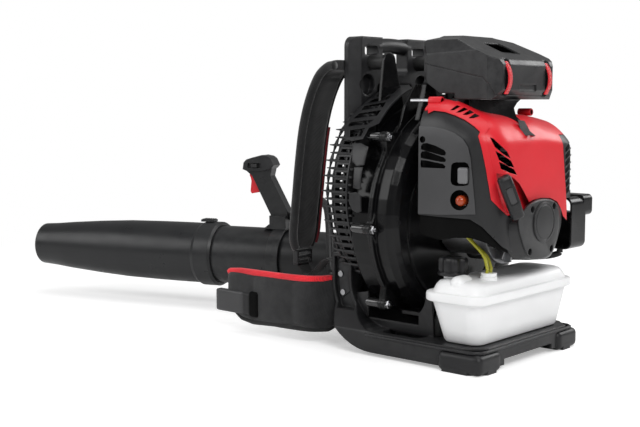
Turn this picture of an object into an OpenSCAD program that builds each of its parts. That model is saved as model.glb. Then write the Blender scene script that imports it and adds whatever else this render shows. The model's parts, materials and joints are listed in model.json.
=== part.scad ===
// Backpack leaf blower: engine and fan on a wearable frame, with a swinging blow tube.
// X points to the rear (engine side), Y to the wearer's right (tube side), Z up.
// The origin is on the floor, under the middle of the base's centre keel.

/* [Base] */
// X of the base's rear edge
base_rear = 141; // [136:1:146]
// Half width of the base
base_half = 140; // [138:1:144]
// Height of the base's top edge
base_top = 38; // [34:1:42]
// Gap between the base's underside and the floor
base_lift = 6; // [4:1:8]
// Wall of the base
base_wall = 5; // [4:0.5:6]
// Length of a rear foot along X
foot_len = 62; // [50:1:70]
// Height of a rear foot
foot_h = 24; // [18:1:28]
// Step of a rear foot outside the base
foot_out = 5; // [3:1:8]
// Half width of the centre keel
keel_half = 14; // [10:1:20]

/* [Side rails] */
// X of the rails' front face
rail_front = -165; // [-170:1:-160]
// X of the rails' rear face above the bend
rail_rear = -125; // [-128:1:-122]
// Radius of the rails' outer bend
rail_r_out = 105; // [95:1:110]
// Radius of the rails' inner bend
rail_r_in = 75; // [65:1:80]
// Outer Y of a rail above the bend
rail_half = 110; // [106:1:112]
// Width of a rail across Y
rail_w = 26; // [20:1:30]
// Height of the rails' upper ends
rail_top = 152; // [146:1:160]

/* [Back frame] */
// Half width of the back frame
back_half = 103; // [98:1:106]
// Height of the back frame's top
back_top = 503; // [495:1:510]
// X of the back frame's rear face
back_rear = -122; // [-126:1:-122]
// Depth of the back frame's posts
post_t = 24; // [20:1:26]
// Half width of the handle window
window_half = 34; // [32:1:38]
// Height of the handle window
window_h = 61; // [55:1:67]
// Diameter of the carrying handle
handle_d = 25; // [22:1:28]

/* [Fan housing] */
// Y of the crankshaft
axis_y = 8; // [4:1:12]
// Height of the crankshaft
axis_z = 202; // [200:1:205]
// Radius of the scroll's first quarter
scroll_r = 144; // [142:1:146]
// Sideways offset of the scroll from the crankshaft
scroll_shift = 10; // [8:1:11]
// Growth of the scroll's radius from one quarter to the next
scroll_step = 20.5; // [19.5:0.5:21]
// Radius of the housing's rounded edges
house_round = 20; // [16:1:22]
// X of the housing's split plane
split_x = -45; // [-47:1:-43]
// Depth of the front half
front_depth = 45; // [43:1:45]
// Depth of the rear half
rear_depth = 40; // [37:1:42]
// Wall of the fan housing
house_wall = 3; // [2.5:0.5:4]
// Radius of the air inlet
inlet_r = 92; // [84:1:98]
// Height of the outlet's lower mouth
mouth_z = 170; // [168:1:173]

/* [Impeller] */
// Radius of the impeller
fan_r = 132; // [126:1:134]
// Number of impeller blades
fan_blades = 13; // [9:1:17]
// Width of the impeller
fan_w = 34; // [28:1:36]

/* [Intake guard] */
// Radius of the guard's drum
guard_r = 168; // [164:1:170]
// Height of the guard's centre
guard_z = 252; // [245:1:258]
// Spacing of the guard's fins
fin_pitch = 12; // [11:0.5:14]
// Thickness of a fin
fin_t = 3; // [2.4:0.2:4]
// X of the long fins' tips
fin_tip = -144; // [-148:1:-140]
// Difference between long and short fins
fin_step = 7; // [4:1:8]

/* [Engine] */
// Bore of the cylinder
bore_d = 51; // [44:1:54]
// Stroke of the piston
stroke = 35; // [30:1:38]
// Radius of the cylinder's cooling fins
cyl_fin_r = 45; // [40:1:45]
// X of the cylinder's centre
cyl_x = 42; // [40:1:44]
// Diameter of the crankshaft
shaft_d = 17; // [14:1:18]

/* [Engine covers] */
// X of the covers' rear face
cover_rear = 150; // [148:1:152]
// X of the covers' front edge
cover_front = 22; // [20:1:24]
// Y of the left face
cover_left = -128; // [-131:1:-126]
// Y of the right face
cover_right = 128; // [126:1:131]
// Height of the covers' top
cover_top = 386; // [383:1:388]
// Wall of the covers
cover_wall = 3; // [2.5:0.5:3.5]
// Radius of the covers' rounded edges
cover_round = 46; // [42:1:50]

/* [Air filter] */
// Front X of the filter box
filter_front = -12; // [-15:1:-9]
// Rear X of the filter box
filter_rear = 128; // [125:1:131]
// Half width of the filter box
filter_half = 92; // [89:1:95]
// Y of the filter box's centre
filter_y = 6; // [3:1:9]
// Height of the filter box's underside
filter_low = 402; // [401:1:404]
// Height of the filter box at its front
filter_h = 99; // [96:1:101]
// Drop of the filter cover's top from front to rear
filter_drop = 40; // [36:1:43]

/* [Fuel tank] */
// Front X of the tank's flange
tank_front = 36; // [34:1:38]
// Rear X of the tank's flange
tank_rear = 143; // [141:1:145]
// Overhang of the tank's flange beside the base
tank_out = 3; // [1:1:5]
// Height of the flange's lower edge
tank_seam = 102; // [99:1:105]
// Height of the tank's top
tank_top = 134; // [131:1:136]
// Radius of the fuel cap
cap_r = 20; // [18:0.5:22]

/* [Blow tube] */
// Angle between the resting tube and the forward direction
tube_turn = 18; // [16:1:20]
// Height of the tube's axis
tube_z = 100; // [98:1:103]
// Outer radius of the control tube
tube_r = 56; // [54:0.5:56]
// Wall of the tubes
tube_wall = 2.5; // [2:0.25:2.5]
// Distance along the tube to the nozzle's rear edge
nozzle_start = 485; // [480:1:492]
// Distance along the tube to the nozzle's tip
nozzle_tip = 909; // [890:1:925]
// Outer radius of the nozzle's middle
nozzle_r = 59; // [59:0.5:60]
// Outer radius of the nozzle's outlet
outlet_r = 42; // [40:0.5:44]
// Travel of the nozzle on the control tube
nozzle_travel = 60; // [40:1:64]
// Number of ribs on each half of the bellows
bellows_ribs = 6; // [4:1:7]

/* [Harness] */
// Width of a shoulder pad
strap_w = 56; // [50:1:60]
// Thickness of a shoulder pad
strap_t = 18; // [14:1:20]
// Height of the waist belt
belt_h = 86; // [80:1:90]
// Thickness of the waist belt
belt_t = 16; // [12:1:18]

/* [Hidden] */
$fn = 48;
gap = 0.3;          // running gap between pieces that move or seat
shaft_gap = 0.05;   // radial gap of a shaft in its bearing
screw_r = 3;
head_r = 5;
window_low = back_top - window_h;
filter_high = filter_low + filter_h;
tank_half = base_half + tank_out;

// ---- placing helpers ----------------------------------------------------------
// Extrude a (y, z) outline along X, an (x, z) outline along Y, an (x, y) outline along Z
module along_x(x0, x1) translate([x0, 0, 0]) rotate([90, 0, 90]) linear_extrude(x1 - x0) children();
module along_y(y0, y1) translate([0, y1, 0]) rotate([90, 0, 0]) linear_extrude(y1 - y0) children();
module along_z(z0, z1) translate([0, 0, z0]) linear_extrude(z1 - z0) children();
module rod_x(x0, x1, r, y, z) translate([x0, y, z]) rotate([0, 90, 0]) cylinder(h = x1 - x0, r = r);
module rod_y(y0, y1, r, x, z) translate([x, y1, z]) rotate([90, 0, 0]) cylinder(h = y1 - y0, r = r);
module rod_z(z0, z1, r, x, y) translate([x, y, z0]) cylinder(h = z1 - z0, r = r);
// Box from its lowest corner to its highest
module block(a, b) translate(a) cube(b - a);
// The same with corners rounded in plan
module slab(a, b, r) along_z(a[2], b[2]) round_rect([a[0], a[1]], [b[0], b[1]], r);
module round_rect(a, b, r) {
    translate([a[0] + r, a[1]]) square([b[0] - a[0] - 2 * r, b[1] - a[1]]);
    translate([a[0], a[1] + r]) square([b[0] - a[0], b[1] - a[1] - 2 * r]);
    for (x = [a[0] + r, b[0] - r], y = [a[1] + r, b[1] - r]) translate([x, y]) circle(r);
}
module both_sides() {
    children();
    mirror([0, 1, 0]) children();
}
// Slot of width w with round ends from p to q
module slot(p, q, w) {
    d = q - p;
    translate(p) rotate(atan2(d[1], d[0])) translate([0, -w / 2]) square([norm(d), w]);
    translate(p) circle(w / 2 + 0.1);
    translate(q) circle(w / 2 + 0.1);
}
function arc(c, r, a0, a1, n) = [for (i = [0:n]) let (a = a0 + (a1 - a0) * i / n) c + r * [cos(a), sin(a)]];

// ---- swept and lofted skins ---------------------------------------------------
function unit(v) = v / norm(v);
// Closed solid through rings with the same number of points, each counter-clockwise about the way they go;
// hubs are the middles of its two ends, for outlines that aren't convex
module skin(rings, hubs = []) {
    n = len(rings[0]);
    last = (len(rings) - 1) * n;
    points = concat([for (ring = rings) each ring], hubs);
    walls = [for (i = [0:len(rings) - 2], j = [0:n - 1]) let (a = i * n + j, b = i * n + (j + 1) % n)
        each [[a, b + n, b], [a, a + n, b + n]]];
    flat = [for (j = [1:n - 2]) each [[0, j, j + 1], [last, last + j + 1, last + j]]];
    spun = [for (j = [0:n - 1]) let (k = (j + 1) % n)
        each [[last + n, j, k], [last + n + 1, last + k, last + j]]];
    polyhedron(points, concat(walls, len(hubs) > 0 ? spun : flat));
}
// Catmull-Rom curve through the points, with per steps between two of them
function curve(p, per) = [for (i = [0:len(p) - 2], k = [0:per - 1]) let (
        a = p[max(i - 1, 0)], b = p[i], c = p[i + 1], d = p[min(i + 2, len(p) - 1)], t = k / per)
    0.5 * (2 * b + (c - a) * t + (2 * a - 5 * b + 4 * c - d) * t * t + (3 * b - a - 3 * c + d) * t * t * t),
    p[len(p) - 1]];
function heading(p, i) = unit(p[min(i + 1, len(p) - 1)] - p[max(i - 1, 0)]);
// Rings of a flat outline carried along a path; side is the way of the outline's first axis
function carried(path, side, outline) = [for (i = [0:len(path) - 1]) let (
        t = heading(path, i), u = unit(side - (side * t) * t), v = cross(t, u))
    [for (q = outline) path[i] + q[0] * u + q[1] * v]];
function ring(r, n) = [for (j = [0:n - 1]) r * [cos(360 * j / n), sin(360 * j / n)]];
module hose(path, r, n, side) skin(carried(path, side, ring(r, n)));

// ---- fan housing outline --------------------------------------------------------
// The scroll is four arcs that meet tangentially; angles run from straight down towards the left
tongue_a = -80;
quarter = (270 - tongue_a) / 4;
function away(a) = [-sin(a), -cos(a)];
function shift(k) = k == 0 ? [0, 0] : shift(k - 1) - scroll_step * away(tongue_a + k * quarter);
middle = (shift(0) + shift(1) + shift(2) + shift(3)) / 4;
function centre(k) = [axis_y + scroll_shift, axis_z] + shift(k) - middle;
function radius(k) = scroll_r + k * scroll_step;
function scroll_pt(a, out) = let (k = min(floor((a - tongue_a) / quarter), 3))
    centre(k) + (radius(k) + out) * away(a);
mouth_out = scroll_pt(270, 0)[0];           // outer and inner Y of the outlet's mouth
mouth_in = scroll_pt(tongue_a, 0)[0];
mouth_y = (mouth_out + mouth_in) / 2;
house_front = split_x - front_depth;
house_rear = split_x + rear_depth;
// Outline of the scroll down to its mouth, widened by out
function scroll_line(out) = concat([[mouth_in - min(out, 0), mouth_z], [mouth_out + out, mouth_z]],
    [for (i = [0:48]) scroll_pt(270 - (270 - tongue_a) * i / 48, out)]);
module scroll(out) polygon(scroll_line(out));
// Solid of a half shell from its closed end x0 to the split, with its edge rounded to r
module half_solid(x0, r) difference() {
    hull() {
        along_x(x0, x0 + 0.1) scroll(-r * 0.8);
        along_x(x0 + r * 0.22, x0 + r * 0.22 + 0.1) scroll(-r * 0.32);
        along_x(x0 + r * 0.7, split_x) scroll(0);
    }
    // clear the corner between the mouth and the scroll
    along_x(x0 - 1, split_x + 1) polygon(concat(
        [for (i = [0:9]) scroll_pt(-28 + (tongue_a + 28) * i / 9, 0.15)],
        [[mouth_in, mouth_z], [mouth_out + 60, mouth_z], [120, 20]]));
}
// Screw lugs round the housing: angle and distance outside the scroll
lugs = [[-40, 11], [46, 22], [87, 8], [131, 18], [190, 10], [236, 11]];
lug_r = 9;
front_round = 6;
function lug_at(b) = scroll_pt(b[0], b[1]);
function along(a) = [-cos(a), sin(a)];
ear_y = 62;         // upper ears that carry the rubber mounts
ear_z = back_top - 41;
lug_z = filter_low + 18;
foot_y = 85;        // lower mounts
foot_x = 8;
foot_z = 66;

// ---- tube frame -----------------------------------------------------------------
elbow_bend = mouth_z - tube_z;              // radius of the elbow's bend
elbow_r = 44;
duct_x = (house_front + house_rear) / 2;    // centre of the outlet's mouth
tube_dir = [-cos(tube_turn), -sin(tube_turn), 0];
tube_s0 = 15;                               // distances along the tube start this far inside the elbow
tube_origin = [duct_x, mouth_y, tube_z] + (elbow_bend - tube_s0) * tube_dir;
swing_s = 47;                               // the bellows' two bends
tilt_s = 120;
swing_in = 4;                               // how far the tube swings inwards, towards the rail
bellows_end = 152;
// Children are drawn with +X along the tube and +Z up
module at_tube(s = 0) translate(tube_origin) rotate([0, 0, 180 + tube_turn]) translate([s, 0, 0]) children();
// Solid of revolution about the tube's axis, from [distance, radius] points
module turned(profile) rotate([0, 90, 0]) rotate_extrude($fn = 64) polygon([for (p = profile) [p[1], p[0]]]);

// ==== frame ========================================================================
rail_out_c = [rail_front + rail_r_out, base_lift + rail_r_out];     // centres of the rails' bends
rail_in_c = [rail_rear + rail_r_in, base_top + rail_r_in];
// Side view of a rail: foot, round bend and upright, drawn in by g
module rail_side(x1, g) polygon(concat(
    [[x1, base_lift + g], [x1, base_top - g]],
    arc(rail_in_c, rail_r_in + g, 270, 180, 10),
    [[rail_rear - g, rail_top - g], [rail_front + g, rail_top - g]],
    arc(rail_out_c, rail_r_out - g, 180, 270, 12)));
module base_plan(g) {
    c = 26 + g * 0.6;       // chamfer of the rear corners
    w = base_half - g;
    x = base_rear - g;
    polygon([[rail_in_c[0], -w], [x - c, -w], [x, -w + c], [x, w - c], [x - c, w], [rail_in_c[0], w]]);
}
module foot_step() both_sides() difference() {
    along_z(0, foot_h) intersection() {
        base_plan(-foot_out);
        translate([base_rear - foot_len, -base_half - foot_out]) square([foot_len + foot_out, 46]);
    }
    // scalloped upper edge
    for (x = [base_rear - foot_len + 14 : 16 : base_rear - 20])
        rod_y(-base_half - foot_out - 1, -base_half, 9, x, foot_h + 5);
}
module base_frame() color([0.13, 0.13, 0.14]) {
    difference() {
        union() {
            along_z(base_lift, base_top) base_plan(0);
            both_sides() intersection() {
                along_y(rail_half - rail_w, base_half) rail_side(rail_in_c[0] + 1, 0);
                along_x(rail_front - 1, rail_in_c[0] + 1) polygon([[rail_half - rail_w, 0], [base_half, 0],
                    [base_half, base_top], [rail_half, base_top + 34], [rail_half, 200],
                    [rail_half - rail_w, 200]]);
            }
            // curved shell between the rails
            along_y(-rail_half, rail_half) polygon(concat(arc(rail_out_c, rail_r_out, 184, 270, 12),
                [[rail_in_c[0] + 5, base_lift], [rail_in_c[0] + 5, base_lift + 4]],
                arc(rail_out_c, rail_r_out - 4, 270, 184, 12)));
            foot_step();
        }
        // hollow under the fan housing, hollow under the tank, arch between the rear feet
        slab([-52, -base_half + base_wall + 9, base_lift + 5],
            [24, base_half - base_wall - 9, base_top + 9], 12);
        along_z(-1, base_top - 4) intersection() {
            base_plan(base_wall);
            translate([32, -base_half]) square([150, 2 * base_half]);
        }
        block([base_rear - 16, -70, -1], [base_rear + foot_out + 1, 70, base_lift + 9]);
        // hollow beside the bellows
        at_tube() rotate([0, 90, 0]) cylinder(h = bellows_end, r = bellows_r + 4);
        at_tube(swing_s) rotate([0, 90, swing_in]) cylinder(h = bellows_end, r = bellows_r + 4);
        // open channel on the outside of each rail
        both_sides() along_y(rail_half - 8, base_half + 1) intersection() {
            rail_side(rail_in_c[0], 5);
            translate([rail_front, base_top + 26]) square([80, 200]);
        }
    }
    slab([-96, -keel_half, 0], [46, keel_half, base_lift + 2], 6);
    along_y(24 - base_half, base_half - 24) polygon([[-84, 0], [-52, 0], [-48, base_lift + 2],
        [-76, base_lift + 2]]);
    // webs beside the fan housing, cut round its scroll
    difference() {
        both_sides() along_y(98, 102) difference() {
            polygon([[-104, 44], [-120, 90], [-66, 100], [30, 96], [34, base_top - 2], [-30, base_top - 2]]);
            translate([-20, 100]) circle(38);
        }
        along_x(house_front - 5, house_rear + 10) scroll(30);
    }
}
module back_frame() color([0.15, 0.15, 0.16]) {
    front = back_rear - post_t;
    difference() {
        union() {
            along_x(front, back_rear) difference() {
                round_rect([-back_half, rail_top], [back_half, back_top], 16);
                round_rect([-window_half, window_low], [window_half, back_top + 40], 12);
            }
            // lugs that stand on the rails
            both_sides() block([front, rail_half - rail_w, rail_top],
                [back_rear, rail_half - 1, rail_top + 26]);
            // arched carrying handle
            translate([front / 2 + back_rear / 2, 0, back_top - handle_d / 2 - 300]) rotate([90, 0, 90])
                rotate([0, 0, 81.8]) rotate_extrude(angle = 16.4) translate([300, 0]) circle(handle_d / 2);
        }
        // hollow rear of the middle and of the posts, and strap slots
        for (z = [rail_top + 14 : 68 : window_low - 70])
            slab_x([back_rear - post_t + 5, -48, z], [back_rear + 1, 48, z + 58], 8);
        both_sides() slab_x([back_rear - 12, 56, rail_top + 40], [back_rear + 1, 80, 340], 8);
        // bevelled outer edges
        both_sides() along_z(rail_top + 34, back_top + 1) polygon([[back_rear - 16, back_half + 1],
            [back_rear + 1, back_half + 1], [back_rear + 1, back_half - 16]]);
        both_sides() slab_x([front - 1, 46, back_top - 29], [back_rear + 1, 80, back_top - 15], 4);
        // pocket for the upper rubber mount
        both_sides() rod_x(back_rear - 10, back_rear + 1, 17, ear_y + 10, ear_z - 36);
    }
}
// Box along X with corners rounded in the (y, z) view
module slab_x(a, b, r) along_x(a[0], b[0]) round_rect([a[1], a[2]], [b[1], b[2]], r);
plate_y = rail_half - 8;        // the rails' webs, which carry the steel belt plates
plate_t = 2;
rivets = [[-146, 88], [-151, 118]];
module belt_plates() color([0.05, 0.05, 0.05]) at_rails()
    along_y(plate_y + 0.1, plate_y + plate_t) difference() {
    polygon([[-149, 78], [-158, 112], [-159, 140], [-146, 147], [-131, 147], [-131, 92]]);
    for (p = rivets) translate(p) circle(screw_r);
}
module frame_rivets() color([0.75, 0.75, 0.77]) at_rails() for (p = rivets) {
    rod_y(plate_y + 0.1, plate_y + plate_t + 0.5, screw_r - 0.1, p[0], p[1]);
    rod_y(plate_y + plate_t + 0.1, plate_y + plate_t + 2, head_r, p[0], p[1]);
}
// The left rail carries its plate outside, the right rail on its inner side, clear of the bellows
module at_rails() {
    mirror([0, 1, 0]) children();
    translate([0, 2 * rail_half - rail_w - 8.2, 0]) mirror([0, 1, 0]) children();
}
// Crowned pad outline: flat sides of half width w, depth d, raised towards the wearer
function pad_ring(z, w, d) = [for (j = [0:19]) let (a = -18 * j, c = cos(a), s = sin(a))
    [back_rear - post_t - gap - d / 2 - d / 2 * sign(c) * pow(abs(c), 0.55),
        w * sign(s) * pow(abs(s), 0.7), z]];
module back_pad() color([0.09, 0.09, 0.09]) skin([for (i = [0:24]) let (t = i / 24,
    z = 176 + (window_low - 206) * t,
        crown = pow(sin(180 * min(max(t, 0.02), 0.98)), 0.4), seam = 1 - 0.25 * pow(abs(cos(540 * t)), 12))
    pad_ring(z, 84 * (0.72 + 0.28 * crown) - 5 * sin(180 * t), 6 + 16 * crown * seam)]);
module isolators() color([0.07, 0.07, 0.07]) {
    both_sides() rod_x(back_rear + 0.1, house_front - 0.1, 12, ear_y, ear_z);
    both_sides() rod_z(base_top + 0.1, foot_z - 0.1, 12, foot_x + 22, foot_y);
}

// ==== fan housing ====================================================================
guard_front = back_rear + 2;
guard_rear = house_front - 0.1;
function guard_half(z) = sqrt(max(pow(guard_r, 2) - pow(z - guard_z, 2), 1));
module intake_guard() color([0.16, 0.16, 0.17]) {
    fins = [for (i = [-12:12]) guard_z + (i + 0.5) * fin_pitch];
    // fins: plates with pointed front ends beside the back frame
    for (i = [0:len(fins) - 1]) {
        half = guard_half(fins[i] - guard_z > 0 ? fins[i] + fin_t / 2 : fins[i] - fin_t / 2) + 0.4;
        tip = fin_tip + (i % 2) * fin_step;
        inner = axis_y + 3 + (fins[i] < rail_top + 30 ? rail_half : back_half);
        outline = [[tip, half - 9], [tip + 14, half - 5], [guard_front + 8, half], [guard_rear, half],
            [guard_rear, half - 8], [guard_front, inner], [guard_front - 12, inner]];
        if (half > inner + 10) along_z(fins[i] - fin_t / 2, fins[i] + fin_t / 2) {
            translate([0, axis_y]) mirror([0, 1]) polygon(outline);
            if (fins[i] > tube_z + bellows_r + 6) translate([0, axis_y]) polygon(outline);
        }
    }
    difference() {
        union() {
            // drum ring, cut into bars
            along_x(guard_front, guard_rear) intersection() {
                guard_ring(guard_r, guard_r - 4);
                for (z = fins) translate([-250, z - fin_pitch / 2 + 0.5]) square([500, fin_pitch * 0.56]);
            }
            along_x(guard_front, guard_front + 3) guard_ring(guard_r, guard_r - 12);
            along_x(guard_front + 16, guard_front + 19) guard_ring(guard_r - 1, guard_r - 7);
            along_x(guard_rear - 3, guard_rear) guard_ring(guard_r + 3, guard_r - 26);
            // front grille
            along_x(guard_front, guard_front + 2.5) intersection() {
                translate([axis_y, guard_z]) circle(guard_r - 8);
                union() {
                    for (z = fins) translate([-200, z - 2]) square([400, 4]);
                    for (y = [-100:40:100]) translate([axis_y + y - 2, 0]) square([4, 500]);
                }
            }
        }
        rod_x(guard_rear - 4, guard_rear + 1, scroll_r - 20, axis_y, axis_z);
        block([guard_front - 1, -300, 0], [guard_rear + 1, 300, fins[0] - 8]);
        block([guard_front - 1, 100, 0], [guard_rear + 1, 300, tube_z + bellows_r]);
    }
}
module guard_ring(r1, r0) translate([axis_y, guard_z]) difference() {
    circle(r1, $fn = 96);
    circle(r0, $fn = 96);
}
module at_lugs(x0, x1, r) for (b = lugs) rod_x(x0, x1, r, lug_at(b)[0], lug_at(b)[1]);
module lug_plates(x0, x1) {
    at_lugs(x0, x1, lug_r);
    for (b = lugs) along_x(x0, x1) polygon([scroll_pt(b[0] - 9, -1), lug_at(b) - (lug_r - 1) * along(b[0]),
        lug_at(b) + (lug_r - 1) * along(b[0]), scroll_pt(b[0] + 9, -1)]);
}
// Opening of the outlet through the mouth's lower face
module mouth_hole(x0, x1) block([x0, mouth_in + 5, mouth_z - 2], [x1, mouth_out - 4, mouth_z + 5]);
// Room for the elbow and its flange
module elbow_room() {
    rod_z(mouth_z - 60, mouth_z - 0.05, elbow_r + 3, duct_x, mouth_y);
    block([house_front - 1, mouth_in + 0.6, mouth_z - 5.4], [house_rear + 1, mouth_out + 30, mouth_z - 0.05]);
}
module housing_front() color([0.1, 0.1, 0.1]) difference() {
    union() {
        half_solid(house_front, front_round);
        along_x(split_x - 4, split_x) scroll(7);
        lug_plates(split_x - 6, split_x);
        both_sides() along_x(house_front, house_front + 5) {
            polygon([[ear_y - 15, ear_z], [ear_y + 15, ear_z], [92, 346], [20, 380]]);
            translate([ear_y, ear_z]) circle(15);
        }
    }
    along_x(house_front + house_wall, split_x + 1) scroll(-front_round * 0.8);
    along_x(house_front + house_wall + 1, split_x + 2) scroll(-house_wall);
    mouth_hole(house_front + 0.6 * house_round, split_x + 1);
    rod_x(house_front - 1, house_front + 12, inlet_r, axis_y, axis_z);
    at_lugs(house_front - 2, split_x + 3, screw_r + gap);
    elbow_room();
}
module housing_rear() color([0.1, 0.1, 0.1]) difference() {
    union() {
        translate([2 * split_x, 0, 0]) mirror([1, 0, 0]) half_solid(split_x - rear_depth, house_round);
        along_x(split_x, split_x + 4) scroll(7);
        lug_plates(split_x, split_x + 6);
        // wings that lead up to the filter's mounts
        both_sides() along_x(split_x, split_x + 4) polygon([[96, 352], [78, 394], [52, 426], [32, 426],
            [40, 380]]);
        // ring on the rear face
        along_x(house_rear - 2, house_rear + 1.5) translate([axis_y, axis_z]) difference() {
            circle(128);
            circle(123);
        }
        // brackets on the lower mounts, and the upper boss that carries the filter box
        both_sides() along_z(foot_z, foot_z + 6) polygon([[house_rear - 26, foot_y - 20],
            [house_rear - 26, foot_y + 12],
            [foot_x + 34, foot_y + 12], [foot_x + 34, foot_y - 12]]);
        both_sides() along_x(house_rear - 8, house_rear) {
            polygon([[ear_y - 12, lug_z], [ear_y + 12, lug_z], [ear_y + 30, 370], [ear_y - 36, 380]]);
            translate([ear_y, lug_z]) circle(12);
        }
    }
    along_x(split_x - 1, house_rear - house_wall) scroll(-house_round * 0.8);
    along_x(split_x - 2, house_rear - 0.6 * house_round) scroll(-house_wall);
    mouth_hole(split_x - 1, house_rear - 0.6 * house_round);
    at_lugs(split_x - 3, split_x + 12, screw_r + gap);
    rod_x(house_rear - 12, house_rear + 1, 30, axis_y, axis_z);
    elbow_room();
}
module housing_screws() color([0.8, 0.8, 0.82]) {
    at_lugs(split_x - 30, split_x + 14, screw_r);
    // spacer sleeves in front of the lugs, nuts behind them
    at_lugs(split_x - 32, split_x - 6.1, head_r + 0.5);
    for (b = lugs) along_x(split_x + 6.1, split_x + 12) translate(lug_at(b)) circle(7, $fn = 6);
}

// ==== rotor ==========================================================================
fan_back = split_x + 22;            // X of the impeller's back plate
crank_front = fan_back - fan_w - 8;
crank_rear = 114;
module impeller() color([0.2, 0.2, 0.21]) translate([fan_back, axis_y, axis_z])
    rotate([0, -90, 0]) difference() {
    union() {
        cylinder(h = 3, r = fan_r, $fn = 96);
        cylinder(h = fan_w, r = 22);
        // backward-curved blades under a front ring
        for (i = [0:fan_blades - 1]) rotate(360 * i / fan_blades)
            translate([0, 0, 1]) linear_extrude(fan_w - 2)
            difference() {
                translate([60, 70]) circle(92);
                translate([60, 70]) circle(89);
                circle(40);
                translate([-200, -200]) square([400, 200]);
                difference() {
                    circle(300);
                    circle(fan_r - 3);
                }
            }
        translate([0, 0, fan_w - 2.5]) difference() {
            cylinder(h = 2.5, r = fan_r, $fn = 96);
            translate([0, 0, -1]) cylinder(h = 5, r = inlet_r + 4, $fn = 96);
        }
    }
    translate([0, 0, -1]) cylinder(h = fan_w + 2, r = shaft_d / 2);
}
pin_r = 7;
web_r = 30;
web_gap = 14;
web_t = 10;
module crankshaft() color([0.7, 0.7, 0.72]) {
    rod_x(crank_front, cyl_x - web_gap / 2 - web_t, shaft_d / 2, axis_y, axis_z);
    rod_x(cyl_x + web_gap / 2 + web_t, crank_rear, shaft_d / 2, axis_y, axis_z);
    for (x = [cyl_x - web_gap / 2 - web_t, cyl_x + web_gap / 2]) rod_x(x, x + web_t, web_r, axis_y, axis_z);
    rod_x(cyl_x - web_gap / 2 - 1, cyl_x + web_gap / 2 + 1, pin_r, axis_y, axis_z - stroke / 2);
    // nuts that hold the impeller and the flywheel
    along_x(crank_front, crank_front + 8) translate([axis_y, axis_z]) circle(14, $fn = 6);
    along_x(crank_rear - 8, crank_rear) translate([axis_y, axis_z]) circle(13, $fn = 6);
}
fly_x = 84;
fly_w = 22;
fly_r = 56;
module flywheel() color([0.6, 0.6, 0.62]) translate([fly_x, axis_y, axis_z]) rotate([0, 90, 0]) difference() {
    union() {
        cylinder(h = 6, r = fly_r);
        cylinder(h = fly_w, r = 20);
        for (i = [0:11]) rotate(30 * i) translate([17, -1.5, 1]) cube([fly_r - 20, 3, fly_w - 5]);
    }
    translate([0, 0, -1]) cylinder(h = fly_w + 2, r = shaft_d / 2);
}
case_front = -2;
case_rear = 78;
case_r = 46;
bearing_r = 19;
bearing_w = 10;
module main_bearings() color([0.75, 0.75, 0.77])
    for (x = [case_front + 6, case_rear - 6 - bearing_w]) difference() {
    rod_x(x, x + bearing_w, bearing_r, axis_y, axis_z);
    rod_x(x - 1, x + bearing_w + 1, shaft_d / 2 + shaft_gap, axis_y, axis_z);
}

// ==== engine =========================================================================
deck_z = axis_z + 48;       // joint between crankcase and cylinder
port_y = 62;
module crankcase() color([0.55, 0.55, 0.57]) difference() {
    union() {
        rod_x(case_front, case_rear, case_r, axis_y, axis_z);
        block([cyl_x - 38, axis_y - 38, axis_z], [cyl_x + 34, axis_y + 38, deck_z]);
        rod_x(house_rear + 0.1, case_front + 1, 40, axis_y, axis_z);
        block([cyl_x + 20, axis_y - 80, axis_z + 24], [case_rear, axis_y - 30, axis_z + 32]);
    }
    rod_x(cyl_x - web_gap / 2 - web_t - 2, cyl_x + web_gap / 2 + web_t + 2, web_r + 4, axis_y, axis_z);
    for (x = [case_front + 6, case_rear - 6 - bearing_w]) rod_x(x, x + bearing_w, bearing_r, axis_y, axis_z);
    rod_x(-20, 100, shaft_d / 2 + 2, axis_y, axis_z);
    rod_z(axis_z, deck_z + 1, bore_d / 2 + 1, cyl_x, axis_y);
}
cyl_top = deck_z + 96;
module cylinder_body() {
    rod_z(deck_z, cyl_top, bore_d / 2 + 6, cyl_x, axis_y);
    slab([cyl_x - 36, axis_y - 34, deck_z], [cyl_x + 34, axis_y + 34, deck_z + 6], 6);
    for (z = [deck_z + 14 : 9 : cyl_top - 2]) rod_z(z, z + 2.6, cyl_fin_r, cyl_x, axis_y);
    // exhaust port on the right, inlet port on the left
    block([cyl_x - 20, axis_y, deck_z + 18], [cyl_x + 20, port_y, deck_z + 48]);
    block([cyl_x - 18, axis_y - 58, deck_z + 16], [cyl_x + 18, axis_y, deck_z + 46]);
}
module engine_cylinder() color([0.6, 0.6, 0.62]) difference() {
    cylinder_body();
    rod_z(deck_z - 1, cyl_top - 12, bore_d / 2, cyl_x, axis_y);
    rod_y(axis_y + 10, port_y + 1, 11, cyl_x, deck_z + 33);
    rod_y(axis_y - 59, axis_y - 10, 10, cyl_x, deck_z + 31);
    rod_z(cyl_top - 13, cyl_top + 1, 5, cyl_x, axis_y);
}
piston_low = axis_z + web_r + 6;
piston_h = 38;
module piston() color([0.75, 0.75, 0.76]) difference() {
    rod_z(piston_low, piston_low + piston_h, bore_d / 2 - shaft_gap, cyl_x, axis_y);
    rod_z(piston_low - 1, piston_low + piston_h - 6, bore_d / 2 - 4, cyl_x, axis_y);
    for (z = [28, 33]) rod_ring(piston_low + z, 1.5, bore_d / 2 - 1.5);
    rod_x(cyl_x - 40, cyl_x + 40, 6, axis_y, piston_low + 14);
}
module rod_ring(z, h, r) translate([cyl_x, axis_y, z]) difference() {
    cylinder(h = h, r = r + 4);
    translate([0, 0, -1]) cylinder(h = h + 2, r = r);
}

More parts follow.
